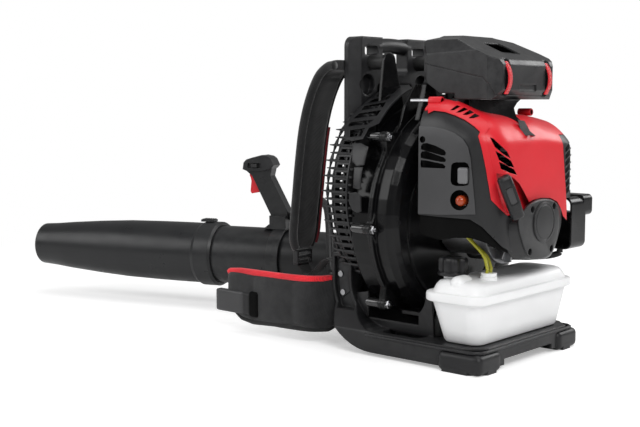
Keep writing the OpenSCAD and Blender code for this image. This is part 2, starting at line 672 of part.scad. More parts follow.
module spark_plug() color([0.9, 0.9, 0.88]) {
    rod_z(cyl_top - 10, cyl_top, 5 - shaft_gap, cyl_x, axis_y);
    along_z(cyl_top, cyl_top + 8) translate([cyl_x, axis_y]) circle(10, $fn = 6);
    rod_z(cyl_top + 7, cyl_top + 14, 5, cyl_x, axis_y);
}
coil_at = [63, -62];
module plug_lead() color([0.08, 0.08, 0.08]) {
    difference() {
        slab([cyl_x - 9, axis_y - 16, cyl_top + 10], [cyl_x + 9, axis_y + 9, cyl_top + 22], 8);
        rod_z(cyl_top + 9, cyl_top + 15, 5 + shaft_gap, cyl_x, axis_y);
    }
    hose(curve([[cyl_x + 4, axis_y - 15, cyl_top + 16], [62, -26, cyl_top + 13], [80, -46, 326],
        [coil_at[0] + 11, coil_at[1] - 4, 282], [coil_at[0] + 10, coil_at[1] - 4, 272],
        [coil_at[0] + 10, coil_at[1] - 4, axis_z + 62.3]], 4), 3, 8, [1, 0, 0]);
}
module ignition_coil() color([0.12, 0.12, 0.12])
    slab([coil_at[0], coil_at[1] - 14, axis_z + 32], [coil_at[0] + 20, coil_at[1] + 10, axis_z + 62], 4);
module muffler() color([0.3, 0.3, 0.31]) {
    difference() {
        slab_y([cyl_x - 32, port_y + 0.1, deck_z - 24], [cyl_x + 60, port_y + 44, deck_z + 66], 14);
        slab_y([cyl_x - 30, port_y + 2, deck_z - 22], [cyl_x + 58, port_y + 42, deck_z + 64], 12);
        rod_y(port_y - 1, port_y + 3, 11, cyl_x, deck_z + 33);
    }
}
// Box along Y with corners rounded in the (x, z) view
module slab_y(a, b, r) along_y(a[1], b[1]) round_rect([a[0], a[2]], [b[0], b[2]], r);
module muffler_guard() color([0.06, 0.06, 0.06]) difference() {
    union() {
        slab_y([72, 110, 162], [cover_rear, 156, 246], 12);
        slab_y([96, 150, 214], [cover_rear, 178, 248], 8);
    }
    slab_y([75, 108, 165], [cover_rear - 3, 153, 243], 10);
    slab_y([100, 152, 218], [cover_rear - 4, 180, 244], 6);
    block([60, 109, 240], [cover_rear - 12, 140, 250]);
}
module carburettor() color([0.5, 0.5, 0.52]) {
    z = deck_z + 31;
    difference() {
        union() {
            block([cyl_x - 19, -88, z - 20], [cyl_x + 19, axis_y - 58.1, z + 20]);
            block([cyl_x - 12, -82, z - 28], [cyl_x + 12, -58, z - 19]);
            rod_z(z + 19, z + 26, 16, cyl_x, -69);
        }
        rod_y(-70, axis_y - 58, 10, cyl_x, z);
        rod_z(z, z + 27, 10, cyl_x, -69);
    }
}
carb_top = deck_z + 57;
duct_y = -69;
module intake_duct() color([0.08, 0.08, 0.08]) translate([cyl_x, duct_y, 0]) rotate_extrude() polygon([
    [12, carb_top + 0.1], [18, carb_top + 0.1], [18, carb_top + 14], [22, carb_top + 18], [18, carb_top + 24],
    [24, carb_top + 34], [24, filter_low - 0.1], [20, filter_low - 0.1], [20, carb_top + 34],
    [12, carb_top + 20]]);

// ==== air filter ======================================================================
seam_front = filter_high - 41;      // the line between filter base and cover, seen from the side
seam_rear = filter_low + 32;
filter_l = filter_rear - filter_front;
top_slope = filter_drop / filter_l;
module filter_side(g) polygon([
    [filter_front + g, filter_low + 36], [filter_front + g, filter_high - 18],
    [filter_front + 10 + g, filter_high - g],
    [filter_front + 48, filter_high - g - 1], [filter_rear - 4 - g, filter_high - filter_drop - g],
    [filter_rear - g, filter_high - filter_drop - 7 - g], [filter_rear - g, filter_low + 14],
    [filter_rear - 12, filter_low + g], [filter_front + 56, filter_low + g]]);
module filter_plan(g) {
    y0 = filter_y - filter_half + g;
    y1 = filter_y + filter_half - g;
    x0 = filter_front + g;
    x1 = filter_rear - g;
    c = 16;
    polygon([[x0 + c, y0], [x1 - c, y0 + 3], [x1, y0 + c + 3], [x1, y1 - c - 3], [x1 - c, y1 - 3],
        [x0 + c, y1],
        [x0, y1 - c], [x0, y0 + c]]);
}
// Rear view: flat sides, broad bevels and a raised middle
module filter_end(g) {
    y0 = filter_y - filter_half + g;
    y1 = filter_y + filter_half - g;
    z = filter_high - g;
    polygon([[y0, filter_low - 1], [y1, filter_low - 1], [y1, z - 30], [y1 - 14, z - 8], [y1 - 44, z - 3],
        [y1 - 54, z], [y0 + 54, z], [y0 + 44, z - 3], [y0 + 14, z - 8], [y0, z - 30]]);
}
module filter_box(g) intersection() {
    along_y(filter_y - filter_half - 1, filter_y + filter_half + 1) filter_side(g);
    along_z(filter_low - 2, filter_high + 1) filter_plan(g);
    along_x(filter_front - 1, filter_rear + 1) filter_end(g);
}
// Everything below the seam
module below_seam(d) along_y(-200, 200) polygon([[filter_front - 5, 300], [filter_front - 5, seam_front - d],
    [filter_rear - 24, seam_rear - d], [filter_rear - 14, filter_low + 22 - d],
    [filter_rear - 8, filter_low + 6 - d],
    [filter_rear + 5, filter_low + 6 - d], [filter_rear + 5, 300]]);
latch_y = 58;           // latches left and right of the filter box's middle
latch_w = 11;
latch_low = filter_low + 10;
latch_pin = [filter_rear - 4.5, latch_low + 3];     // x and z of the latches' pins
latch_pin_r = 1.8;
latch_high = filter_high - filter_drop - 4;
module latch_pockets(g) for (s = [-1, 1])
    block([filter_rear - 8 - g, filter_y + s * latch_y - latch_w / 2 - g, latch_low - 8],
        [filter_rear + 5, filter_y + s * latch_y + latch_w / 2 + g, filter_high]);
module filter_base() color([0.17, 0.17, 0.18]) difference() {
    intersection() {
        filter_box(0);
        below_seam(0);
    }
    intersection() {
        filter_box(cover_wall);
        along_z(filter_low + 8, filter_high) square(600, center = true);
    }
    latch_pockets(1);
    rod_z(filter_low - 1, filter_low + 9, 20, cyl_x, duct_y);
}
// Walls of the latches' slots, inside the cover
module latch_backs() intersection() {
    filter_box(1);
    for (s = [-1, 1]) block([filter_rear - 13, filter_y + s * latch_y - latch_w / 2 - 5, filter_low],
        [filter_rear, filter_y + s * latch_y + latch_w / 2 + 5, filter_high]);
}
module latch_pins(r, more) for (s = [-1, 1])
    rod_y(filter_y + s * latch_y - latch_w / 2 - 3 - more, filter_y + s * latch_y + latch_w / 2 + 3 + more, r,
        latch_pin[0], latch_pin[1]);
module filter_cover() color([0.17, 0.17, 0.18]) difference() {
    union() {
        difference() {
            filter_box(0);
            filter_box(cover_wall);
        }
        latch_backs();
    }
    below_seam(-gap);
    latch_pockets(1);
    latch_pins(latch_pin_r + shaft_gap, 0.5);
    // recessed panel on top, and a low recess in the rear face
    translate([filter_front + 70, filter_y - 26, filter_high - 20]) rotate([0, atan(top_slope), 0])
        slab([0, 0, 1], [44, 52, 40], 8);
    block([filter_rear - 2, filter_y - 24, filter_low], [filter_rear + 1, filter_y + 24, filter_low + 22]);
}
module filter_element() color([0.85, 0.8, 0.65]) difference() {
    slab([filter_front + 52, filter_y - 74, filter_low + 8.1], [filter_rear - 26, filter_y + 74,
        filter_low + 29], 6);
    for (x = [filter_front + 58 : 10 : filter_rear - 34])
        block([x, filter_y - 66, filter_low + 15], [x + 5, filter_y + 66, filter_low + 30]);
    rod_z(filter_low, filter_low + 12, 21, cyl_x, duct_y);
}
// Latch: curved red strip that pivots at its lower end
module latch(s) color([0.85, 0.08, 0.1]) {
    y = filter_y + s * latch_y;
    rod_y(y - latch_w / 2 - 3, y + latch_w / 2 + 3, latch_pin_r, latch_pin[0], latch_pin[1]);
    along_y(y - latch_w / 2, y + latch_w / 2) polygon([[filter_rear - 7, latch_low],
        [filter_rear - 2, latch_low - 1],
        [filter_rear + 4, latch_low + 14], [filter_rear + 4, latch_low + 30], [filter_rear - 1, latch_high],
        [filter_rear - 7, latch_high - 2], [filter_rear - 3, latch_low + 30],
        [filter_rear - 4, latch_low + 12]]);
}
module latch_left() latch(-1);
module latch_right() latch(1);

// ==== engine covers ====================================================================
cover_low = 150;
// Envelope of the covers, drawn in by g
module cover_body(g) intersection() {
    along_z(cover_low, cover_top + 1) difference() {
        round_rect([cover_front - 60, cover_left + g], [cover_rear - g, cover_right - g], cover_round);
        translate([cover_front - 70, -200]) square([70, 400]);
    }
    along_y(cover_left - 1, cover_right + 1) round_rect([cover_front - 100, cover_low - 100],
        [cover_rear - g, cover_top - g], cover_round);
    along_x(cover_front - 1, cover_rear + 1) round_rect([cover_left + g, cover_low - 100],
        [cover_right - g, cover_top - g], cover_round);
    // the top falls towards the rear
    along_y(cover_left - 1, cover_right + 1) polygon([[-100, 0], [300, 0], [300, cover_top - 40 - g],
        [60, cover_top + 2 - g], [-100, cover_top + 2 - g]]);
}
module cover_shell() difference() {
    cover_body(0);
    cover_body(cover_wall);
}
// Side view outline of the left cover, under the red cover's arched band
module left_outline(g) polygon(concat(
    [[cover_front - 5, cover_low - 5], [cover_front - 5, 372 + g], [90, 372 + g]],
    arc([90, 329], 43 + g, 86, 28, 6),
    [[142 + g, 296 + g], [148 + g, 238 + g], [152 + g, 224], [200, 224], [200, cover_low - 5]]));
// Regions of the cover: left, right and the rest
module left_region(g) along_y(cover_left - 2, cover_left + 70) left_outline(g);
module right_region(g) {
    block([-10, 92 - g, 100], [200, 200, 365 + g]);
}
// Rear opening for the starter housing
start_r = 56;
module starter_outline(g) {
    hull() {
        translate([-20, 232]) circle(20 + g);
        translate([36, 232]) circle(20 + g);
        translate([-36, 178]) circle(22 + g);
        translate([42, 176]) circle(20 + g);
    }
}
grip_mid = [164, -80, 243];
grip_pull = unit([0.66, -0.72, 0.2]);       // way the grip is pulled
grip_long = let (v = [0.33, 0.29, -0.9]) unit(v - (v * grip_pull) * grip_pull);
grip_side = cross(grip_pull, grip_long);
grip_l = 90;
grip_w = 24;
grip_t = 16;
// Children are drawn with X along the grip, Y across it and Z the way it is pulled
module at_grip() multmatrix([
    [grip_long[0], grip_side[0], grip_pull[0], grip_mid[0]],
    [grip_long[1], grip_side[1], grip_pull[1], grip_mid[1]],
    [grip_long[2], grip_side[2], grip_pull[2], grip_mid[2]],
    [0, 0, 0, 1]]) children();
module grip_pocket() at_grip() translate([-grip_l / 2 - 3, -grip_w / 2 - 3, -grip_t / 2 - 2])
    cube([grip_l + 6, grip_w + 6, 60]);
short_vents = [for (i = [0:3]) 54 + 13 * i];
module red_cover() color([0.85, 0.07, 0.1]) difference() {
    union() {
        cover_shell();
        // bosses on the front edge
        for (y = [-84, 84]) rod_x(cover_front, cover_front + 20, 9, y, cover_top + 4);
    }
    left_region(0);
    right_region(0);
    along_x(100, 200) starter_outline(gap);
    block([0, -200, 0], [200, 200, 196]);
    grip_pocket();
    // vents on the left shoulder and on the rear left edge
    for (x = short_vents) translate([x, -128, 398]) rotate([-45, 0, 0]) rotate([0, 0, -24])
        block([-2.5, -30, -30], [2.5, 9, 60]);
    for (i = [0:2]) translate([134, -120, 338 - 17 * i]) rotate([0, 0, 42]) rotate([0, -28, 0])
        block([-4, -30, -3], [36, 60, 3]);
    for (y = [-84, 84]) rod_x(cover_front - 1, cover_front + 21, screw_r, y, cover_top + 4);
    // openings for the intake duct and the plug cap
    at_grip() translate([0, 0, -60]) cylinder(h = 60, r = 3);
    rod_z(330, 420, 30, cyl_x, duct_y);
    slab([cyl_x - 24, -36, 340], [cyl_x + 66, 56, 420], 10);
}
vent_rows = [[331, 320], [319, 311], [307, 302]];
choke_at = [98, 293];       // x and z of the choke knob and of the primer bulb
primer_at = [97, 254];
primer_r = 8;
module side_cover() color([0.2, 0.2, 0.21]) difference() {
    union() {
        intersection() {
            cover_shell();
            left_region(-gap);
        }
        // cups behind the choke knob and the primer bulb
        slab_y([choke_at[0] - 17, cover_left + 1, choke_at[1] - 17], [choke_at[0] + 17, cover_left + 14,
            choke_at[1] + 18], 7);
        rod_y(cover_left + 1, cover_left + 14, 18, primer_at[0], primer_at[1]);
    }
    grip_pocket();
    // lower edge slants down to the rear
    at_grip() translate([0, 0, -60]) cylinder(h = 60, r = 3);
    along_y(cover_left - 5, 0) polygon([[0, 0], [0, 236], [46, 230], [150, 178], [220, 178], [220, 0]]);
    along_x(100, 200) starter_outline(gap);
    for (v = vent_rows) along_y(cover_left - 1, cover_left + 12) slot([30, v[0]], [64, v[1]], 6.5);
    slab_y([choke_at[0] - 15, cover_left - 1, choke_at[1] - 15], [choke_at[0] + 15, cover_left + 11,
        choke_at[1] + 16], 5);
    rod_y(cover_left - 1, cover_left + 20, 3 + shaft_gap, choke_at[0], choke_at[1]);
    rod_y(cover_left - 1, cover_left + 8, 15, primer_at[0], primer_at[1]);
    rod_y(cover_left - 1, cover_left + 20, primer_r + shaft_gap, primer_at[0], primer_at[1]);
    rod_y(cover_left - 1, cover_left + 8, 4, 28, 341);
}
module louvre_cover() color([0.07, 0.07, 0.07]) difference() {
    intersection() {
        cover_shell();
        right_region(-gap);
        block([0, 0, 214], [200, 200, 364]);
    }
    slab_y([72 - gap, 100, 162 - gap], [cover_rear + 2, 200, 246 + gap], 12 + gap);
    for (z = [256 : 14 : 348]) {
        block([40, cover_right - 9, z], [cover_rear - 34, cover_right + 9, z + 7]);
        translate([cover_rear - 20, cover_right - 20, z]) rotate([0, 0, 45]) block([-9, -18, 0], [28, 18, 7]);
    }
}
module starter_housing() color([0.18, 0.18, 0.19]) difference() {
    union() {
        along_x(116, 162) starter_outline(0);
        rod_x(150, 165, 34, 4, 206);
    }
    difference() {
        along_x(115, 158) starter_outline(-cover_wall);
        rod_x(pulley_x + 1, 159, post_r, axis_y, axis_z);
    }
    for (p = [[-24, 237], [38, 239], [-31, 174], [37, 172]]) rod_x(159, 166, head_r, p[0], p[1]);
}
pulley_x = 126;
post_r = 6;
pulley_w = 12;
pulley_r = 28;
module starter_pulley() color([0.75, 0.75, 0.72]) difference() {
    translate([pulley_x, axis_y, axis_z]) rotate([0, 90, 0]) rotate_extrude() polygon([
        [post_r + shaft_gap, 0], [pulley_r, 0], [pulley_r, 2], [pulley_r - 5, 4],
        [pulley_r - 5, pulley_w - 4],
        [pulley_r, pulley_w - 2], [pulley_r, pulley_w], [post_r + shaft_gap, pulley_w]]);
}
module starter_rope() color([0.85, 0.85, 0.82]) at_grip()
    translate([0, 0, -grip_t / 2 - 26]) linear_extrude(26) circle(2);
module starter_grip() color([0.1, 0.1, 0.1]) at_grip() difference() {
    translate([0, 0, -grip_t / 2 + gap]) linear_extrude(grip_t) round_rect([-grip_l / 2, -grip_w / 2],
        [grip_l / 2, grip_w / 2], 8);
    translate([0, 0, grip_t / 2 - 4]) linear_extrude(10) round_rect([-34, -6], [34, 6], 5);
}
module choke_knob() color([0.3, 0.3, 0.31]) {
    slab_y([choke_at[0] - 11, cover_left - 3, choke_at[1] - 9], [choke_at[0] + 11, cover_left + 10,
        choke_at[1] + 10], 4);
    rod_y(cover_left + 9, cover_left + 24, 3, choke_at[0], choke_at[1]);
}
module primer_bulb() color([0.75, 0.2, 0.1]) {
    translate([primer_at[0], cover_left + 2, primer_at[1]]) sphere(primer_r);
    rod_y(cover_left + 2, cover_left + 13, primer_r, primer_at[0], primer_at[1]);
}

// ==== fuel tank ===========================================================================
module tank_loft(x0, x1, w, z0, bx0, bx1, bw, z1, r) hull() {
    slab([x0, -w, z0 - 0.1], [x1, w, z0], r, $fn = 32);
    slab([bx0, -bw, z1], [bx1, bw, z1 + 0.1], r, $fn = 32);
}
neck_at = [66, 45 - tank_half];
grommet_at = [114, 69 - tank_half];
neck_r = 14;
module fuel_tank() color([0.93, 0.94, 0.94]) difference() {
    union() {
        tank_loft(tank_front + 8, tank_rear - 7, tank_half - 6, tank_seam, 58, 127, base_half - 18,
            base_top + 0.2, 12);
        slab([tank_front, -tank_half, tank_seam], [tank_rear, tank_half, tank_seam + 14], 14);
        tank_loft(tank_front + 14, tank_rear - 13, tank_half - 18, tank_top, tank_front + 7, tank_rear - 6,
            tank_half - 6, tank_seam + 14, 14);
        rod_z(tank_top - 4, tank_top + 14, neck_r, neck_at[0], neck_at[1]);
        rod_z(tank_top - 4, tank_top + 4, 13, grommet_at[0], grommet_at[1]);
    }
    tank_loft(tank_front + 18, tank_rear - 17, tank_half - 22, tank_top - 3, 62, 123, base_half - 22,
        base_top + 4, 9);
    rod_z(tank_top - 12, tank_top + 15, neck_r - 2.5, neck_at[0], neck_at[1]);
    rod_z(tank_top - 12, tank_top + 5, 10, grommet_at[0], grommet_at[1]);
}
cap_ribs = 24;
module fuel_cap() color([0.08, 0.08, 0.08]) translate([neck_at[0], neck_at[1], tank_top]) difference() {
    union() {
        translate([0, 0, 4]) cylinder(h = 24, r = cap_r - 1);
        for (i = [0:cap_ribs - 1]) rotate(360 * i / cap_ribs)
            translate([cap_r - 2, -1.2, 5]) cube([2, 2.4, 21]);
    }
    translate([0, 0, 3]) cylinder(h = 12, r = neck_r + gap);
}
module tank_grommet() color([0.85, 0.85, 0.83]) difference() {
    union() {
        rod_z(tank_top - 6, tank_top + 4.2, 10 - shaft_gap, grommet_at[0], grommet_at[1]);
        rod_z(tank_top + 4.2, tank_top + 9, 12, grommet_at[0], grommet_at[1]);
    }
    for (y = [-5, 5]) rod_z(tank_top - 7, tank_top + 10, line_r + 0.2, grommet_at[0], grommet_at[1] + y);
}
line_r = 2.5;
carb_low = deck_z + 3;
module fuel_lines() color([0.72, 0.75, 0.15]) {
    hose(curve([[grommet_at[0], grommet_at[1] - 5, tank_top - 4], [grommet_at[0], grommet_at[1] - 5,
        tank_top + 4],
        [grommet_at[0], grommet_at[1] - 5, tank_top + 11], [grommet_at[0], grommet_at[1] - 5, tank_top + 17],
        [grommet_at[0] - 2, grommet_at[1] - 14, 172], [92, -98, 196], [64, -100, 222], [cyl_x + 2, -84, 238],
        [cyl_x, -80, carb_low - 5], [cyl_x, -80, carb_low - 0.4]], 4), line_r, 8, [0, 1, 0]);
    hose(curve([[grommet_at[0], grommet_at[1] + 5, tank_top - 4], [grommet_at[0], grommet_at[1] + 5,
        tank_top + 4],
        [grommet_at[0], grommet_at[1] + 5, tank_top + 11], [grommet_at[0], grommet_at[1] + 5, tank_top + 17],
        [grommet_at[0] - 6, grommet_at[1] + 2, 168], [90, -82, 188], [72, -84, 214], [cyl_x + 7, -71, 237],
        [cyl_x + 6, -66, carb_low - 5], [cyl_x + 6, -66, carb_low - 0.4]], 4), line_r, 8, [0, 1, 0]);
}
drain_path = [[120, 128, 161.6], [120, 128, 157], [118, 127, 152], [100, 116, 147], [60, 96, 144],
    [26, 60, 146], [14, 30, 150],
    [14, 24, 158]];
module drain_hose() color([0.06, 0.06, 0.06]) hose(curve(drain_path, 4), 5, 8, [1, 0, 0]);

// ==== blow tube =============================================================================
// Bend from the mouth into the tube's direction, with a straight end
module elbow_solid(r, more) {
    bend_at = [duct_x, mouth_y, mouth_z] + elbow_bend * tube_dir;
    multmatrix([[-tube_dir[0], 0, tube_dir[1], bend_at[0]], [-tube_dir[1], 0, -tube_dir[0], bend_at[1]],
        [0, -1, 0, bend_at[2]], [0, 0, 0, 1]])
        rotate_extrude(angle = 90) translate([elbow_bend, 0]) circle(r);
    at_tube(tube_s0 - 0.5) rotate([0, 90, 0]) cylinder(h = 18.5 + more, r = r);
    rod_z(mouth_z - 1, mouth_z - 0.1 + more, r, duct_x, mouth_y);
}
module elbow() color([0.11, 0.11, 0.12]) difference() {
    union() {
        elbow_solid(elbow_r, 0);
        slab([house_front, mouth_in + 1, mouth_z - 5], [house_rear, mouth_out + 6, mouth_z - 0.1], 6);
    }
    elbow_solid(elbow_r - house_wall, 2);
}
cuff_r = elbow_r + 2.5;
bellows_r = 49.5;
bellows_v = 46.5;     // radius in the valleys
bellows_in = 41;
mid_s = (swing_s + tilt_s) / 2;
// Half of the bellows from a smooth cuff at c to its last rib at e
module bellows_half(c, e) {
    way = sign(e - c);
    cuff = 16 * way;
    n = bellows_ribs * 2;
    first = c + cuff;
    outer = [for (i = [0:n]) [first + (e - first) * (i + 0.5) / (n + 0.5),
        i % 2 == 0 ? bellows_v : bellows_r]];
    inner = [for (i = [n:-1:0]) [first + (e - first) * (i + 0.5) / (n + 0.5),
        (i % 2 == 0 ? bellows_v : bellows_r) - 2.4]];
    turned(concat([[c, elbow_r + 0.1], [c, cuff_r], [first, cuff_r]], outer, inner,
        [[first, elbow_r + 0.1]]));
}
module bellows_rear() color([0.09, 0.09, 0.09]) at_tube() bellows_half(tube_s0 + 2, mid_s - 4 - gap);
module bellows_ring() color([0.09, 0.09, 0.09]) at_tube() turned([[mid_s - 4, bellows_in + 3],
    [mid_s - 4, bellows_r],
    [mid_s + 4, bellows_r], [mid_s + 4, bellows_in + 3]]);
module bellows_front() color([0.09, 0.09, 0.09]) at_tube() bellows_half(bellows_end, mid_s + 4 + gap);
module band(s) {
    turned([[s - 5, cuff_r + 0.1], [s - 5, cuff_r + 1.6], [s + 5, cuff_r + 1.6], [s + 5, cuff_r + 0.1]]);
    translate([s, 0, cuff_r + 4]) rotate([90, 0, 0]) translate([0, 0, -8]) linear_extrude(16) circle(3.4);
}
module elbow_clamp() color([0.7, 0.7, 0.72]) at_tube() band(tube_s0 + 10);
module tube_clamp() color([0.7, 0.7, 0.72]) at_tube() band(bellows_end - 8);
tube_end = 604;
swivel_r = tube_r - 3;
module control_tube() color([0.14, 0.14, 0.15]) at_tube() turned([
    [bellows_end - 16, elbow_r - tube_wall], [bellows_end - 16, elbow_r], [bellows_end + gap, elbow_r],
    [bellows_end + 14, swivel_r], [366, swivel_r], [367, tube_r], [tube_end, tube_r],
    [tube_end, tube_r - tube_wall], [368, tube_r - tube_wall], [366, swivel_r - tube_wall],
    [bellows_end + 14, swivel_r - tube_wall], [bellows_end, elbow_r - tube_wall]]);
grip_s = 342;           // rear end of the grip's collar
neck_half = 11;
head_half = 15;
top_z = tube_r + 5;     // collar height over the axis
pivot = [418, 158];     // trigger pin: distance along the tube, height over its axis
pivot_r = 2.5;
module grip_body() color([0.13, 0.13, 0.14]) at_tube() difference() {
    union() {
        turned([[grip_s, tube_r + 0.1], [grip_s, tube_r + 3], [grip_s + 25, tube_r + 3],
            [grip_s + 25, tube_r + 0.1]]);
        along_y(-20, 20) polygon([[grip_s, tube_r], [grip_s, 82], [376, 82], [376, 66], [389, tube_r]]);
        along_y(-neck_half, neck_half) polygon([[grip_s, 80], [376, 80], [399, 123], [416, 156], [425, 163],
            [433, 169], [428, 180], [380, 180], [372, 177], [375, 170], [378, 157], [grip_s, 91]]);
        along_y(-head_half, head_half) polygon([[424, 165], [435, 169], [433, 182], [427, 188], [414, 192],
            [394, 197], [382, 195], [375, 190], [369, 178], [374, 172], [391, 167]]);
    }
    // slot for the trigger and recess for the stop switch
    along_y(-6, 6) polygon([[391, 124], [395, 170], [424, 170], [440, 160], [440, 124]]);
    block([396, head_half - 4, 172], [424, head_half + 1, 181]);
}
module trigger_pin() rod_y(-neck_half - 0.5, neck_half + 0.5, pivot_r, pivot[0], pivot[1]);
module trigger() color([0.88, 0.12, 0.16]) at_tube() along_y(-5.5, 5.5) difference() {
    union() {
        polygon([[411, 160], [424, 160], [421, 146], [423, 126], [420, 122], [404, 125], [408, 140]]);
        translate(pivot) circle(6.5);
    }
    translate(pivot) circle(pivot_r + shaft_gap);
}
module stop_switch() color([0.5, 0.5, 0.5]) at_tube()
    block([404, head_half - 3.7, 173], [416, head_half + 2, 180]);
// Nozzle: raised collar, gentle bulge and long taper, as [distance, height over the control tube]
collar_up = 7;
nozzle_pts = [[0, 4], [5, collar_up], [36, collar_up], [44, 3.2], [74, 3.4], [134, 3], [214, 1.5],
    [284, -2.5],
    [354, -8], [394, -12]];
module nozzle() color([0.14, 0.14, 0.15]) at_tube() {
    l = nozzle_tip - nozzle_start;
    outer = [for (p = nozzle_pts) [nozzle_start + p[0] * l / 424, tube_r + p[1]]];
    inner = [for (i = [len(outer) - 1:-1:4]) [outer[i][0], outer[i][1] - tube_wall]];
    turned(concat(outer, [[nozzle_tip, outlet_r], [nozzle_tip, outlet_r - tube_wall],
        [nozzle_tip - 30, outlet_r - tube_wall]], inner, [[nozzle_start, tube_r + gap]]));
}
module nozzle_latch() color([0.12, 0.12, 0.12]) at_tube() {
    base = tube_r + collar_up + 0.1;
    slab([nozzle_start + 18, -11, base], [nozzle_start + 46, 11, base + 4], 3);
    for (i = [0:4])
        block([nozzle_start + 21 + 5 * i, -9, base + 3], [nozzle_start + 23 + 5 * i, 9, base + 5.5]);
}
// Throttle conduit: up from the grip's collar, over in a loop and down to the left rail
conduit_r = 7;
conduit_pts = [tube_origin + (grip_s - 0.3) * tube_dir + [0, 0, 80],
    tube_origin + (grip_s - 8) * tube_dir + [0, 0, 82],
    [-400, 73, 198], [-372, 68, 210], [-330, 48, 219],
    [-290, 20, 210], [-258, -10, 182], [-232, -38, 146], [-208, -64, 118], [-186, -84, 108],
    [rail_front - 14, -94.5, 113], [rail_front - 5, -95, 113], [rail_front - 0.4, -95, 113]];
conduit_rings = carried(curve(conduit_pts, 4), [0, 1, 0], ring(conduit_r, 10));
module conduit_front() color([0.3, 0.3, 0.31]) skin([for (i = [0:16]) conduit_rings[i]]);
module conduit_rear() color([0.3, 0.3, 0.31]) skin([for (i = [16:len(conduit_rings) - 1]) conduit_rings[i]]);

// ==== harness ==================================================================================
strap_top = back_top - 47;
strap_low = 152;
// X, and height as a part of the strap's whole height
strap_path = [for (p = [[back_rear - post_t - 0.3, 1], [-162, 0.9934], [-182, 0.9408], [-201, 0.8224],
    [-215, 0.6711],
    [-224, 0.4868], [-231, 0.2895], [-236, 0.1447], [-241, 0]])
        [p[0], strap_low + (strap_top - strap_low) * p[1]]];
// Cross-section of a shoulder pad: crowned faces and rounded edges
strap_ring = [for (j = [0:15]) let (a = 22.5 * j) [strap_w / 2 * sign(cos(a)) * pow(abs(cos(a)), 0.5),
    strap_t / 2 * sign(sin(a)) * pow(abs(sin(a)), 0.6)]];
strap_y = -98;
strap_end = strap_path[len(strap_path) - 1];
strap_in = 50;          // how far the right pad leans inwards, beside the tube
module strap(in) skin(carried([for (p = curve([for (p = strap_path) [p[0], 0, p[1]]], 2))
    [p[0], strap_y + in * (strap_top - p[2]) / 294, p[2]]], [0, 1, 0], strap_ring));
module shoulder_straps() color([0.06, 0.06, 0.06]) {
    strap(0);
    mirror([0, 1, 0]) strap(strap_in);
}
// Flat webbing along a path
module webbing(path, w, side) skin(carried(path, side, [[w / 2, -1.2], [w / 2, 1.2], [-w / 2, 1.2],
    [-w / 2, -1.2]]));
module harness_webbing() color([0.08, 0.08, 0.08]) {
    for (s = [-1, 1]) {
        y = s < 0 ? strap_y : -strap_y - strap_in;
        rail_y = s < 0 ? -97 : 50;
        rail_x = s < 0 ? rail_front - 0.4 : rail_front + 0.5;
        rail_z = s < 0 ? 138 : 97;
        drop = s < 0 ? 2 : 5.6;
        x = strap_end[0] - 0.2;
        z = strap_end[1];
        // ladder buckle under the pad, and webbing from it to the rail
        difference() {
            block([x - 5, y - 19, z - 27], [x + 5, y + 19, z - drop]);
            block([x - 6, y - 15, z - 21], [x + 6, y + 15, z - 7]);
        }
        webbing(curve([[x, y, z - 27.3], [x + 1, y, z - 32], [x + 20, y + (rail_y - y) * 0.4, z - 44],
            [rail_front - 22, rail_y, rail_z], [rail_front - 6, rail_y, rail_z], [rail_x, rail_y, rail_z]],
            3), 26, [0, 1, 0]);
    }
}
belt_path = [[rail_front - 5.5, 20 - rail_half], [rail_front - 6, 6 - rail_half], [-182, 18 - base_half],
    [-202, 6 - base_half], [-250, 1 - base_half], [-300, 1 - base_half], [-350, 2 - base_half],
    [-380, 3 - base_half]];
// Padded belt wing: tall crowned section with channels across it
module waist_belt() color([0.2, 0.2, 0.21]) {
    path = curve([for (p = belt_path) [p[0], p[1], 66]], 3);
    n = len(path) - 1;
    rings = [for (i = [0:n]) let (t = i / n, p = path[i], d = heading(path, i), u = [-d[1], d[0], 0],
            h = (belt_h - 40 * pow(1 - t, 6)) / 2, puff = belt_t / 2 * (0.7 + 0.3 * abs(sin(720 * t))))
        [for (j = [0:15]) let (a = 22.5 * j) p + puff * sign(cos(a)) * pow(abs(cos(a)), 0.6) * u
            + [0, 0, h * sign(sin(a)) * pow(abs(sin(a)), 0.45)]]];
    skin(rings);
}

base_frame();
back_frame();
belt_plates();
frame_rivets();
back_pad();
isolators();
intake_guard();
housing_front();
housing_rear();
housing_screws();
elbow();
elbow_clamp();
impeller();
crankshaft();
flywheel();
main_bearings();
crankcase();
engine_cylinder();
piston();
spark_plug();
plug_lead();
ignition_coil();
muffler();
muffler_guard();
carburettor();
intake_duct();
filter_base();
filter_element();
filter_cover();
latch_left();
latch_right();
red_cover();
side_cover();
louvre_cover();
starter_housing();
starter_pulley();
starter_rope();
starter_grip();
choke_knob();
primer_bulb();
fuel_tank();
fuel_cap();
tank_grommet();
fuel_lines();
drain_hose();
bellows_rear();
bellows_ring();
bellows_front();
control_tube();
tube_clamp();
grip_body();
trigger();
stop_switch();
nozzle();
nozzle_latch();
conduit_rear();
conduit_front();
shoulder_straps();
harness_webbing();
waist_belt();
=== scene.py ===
import json
import math
import bpy
import bmesh
from mathutils import Matrix, Vector

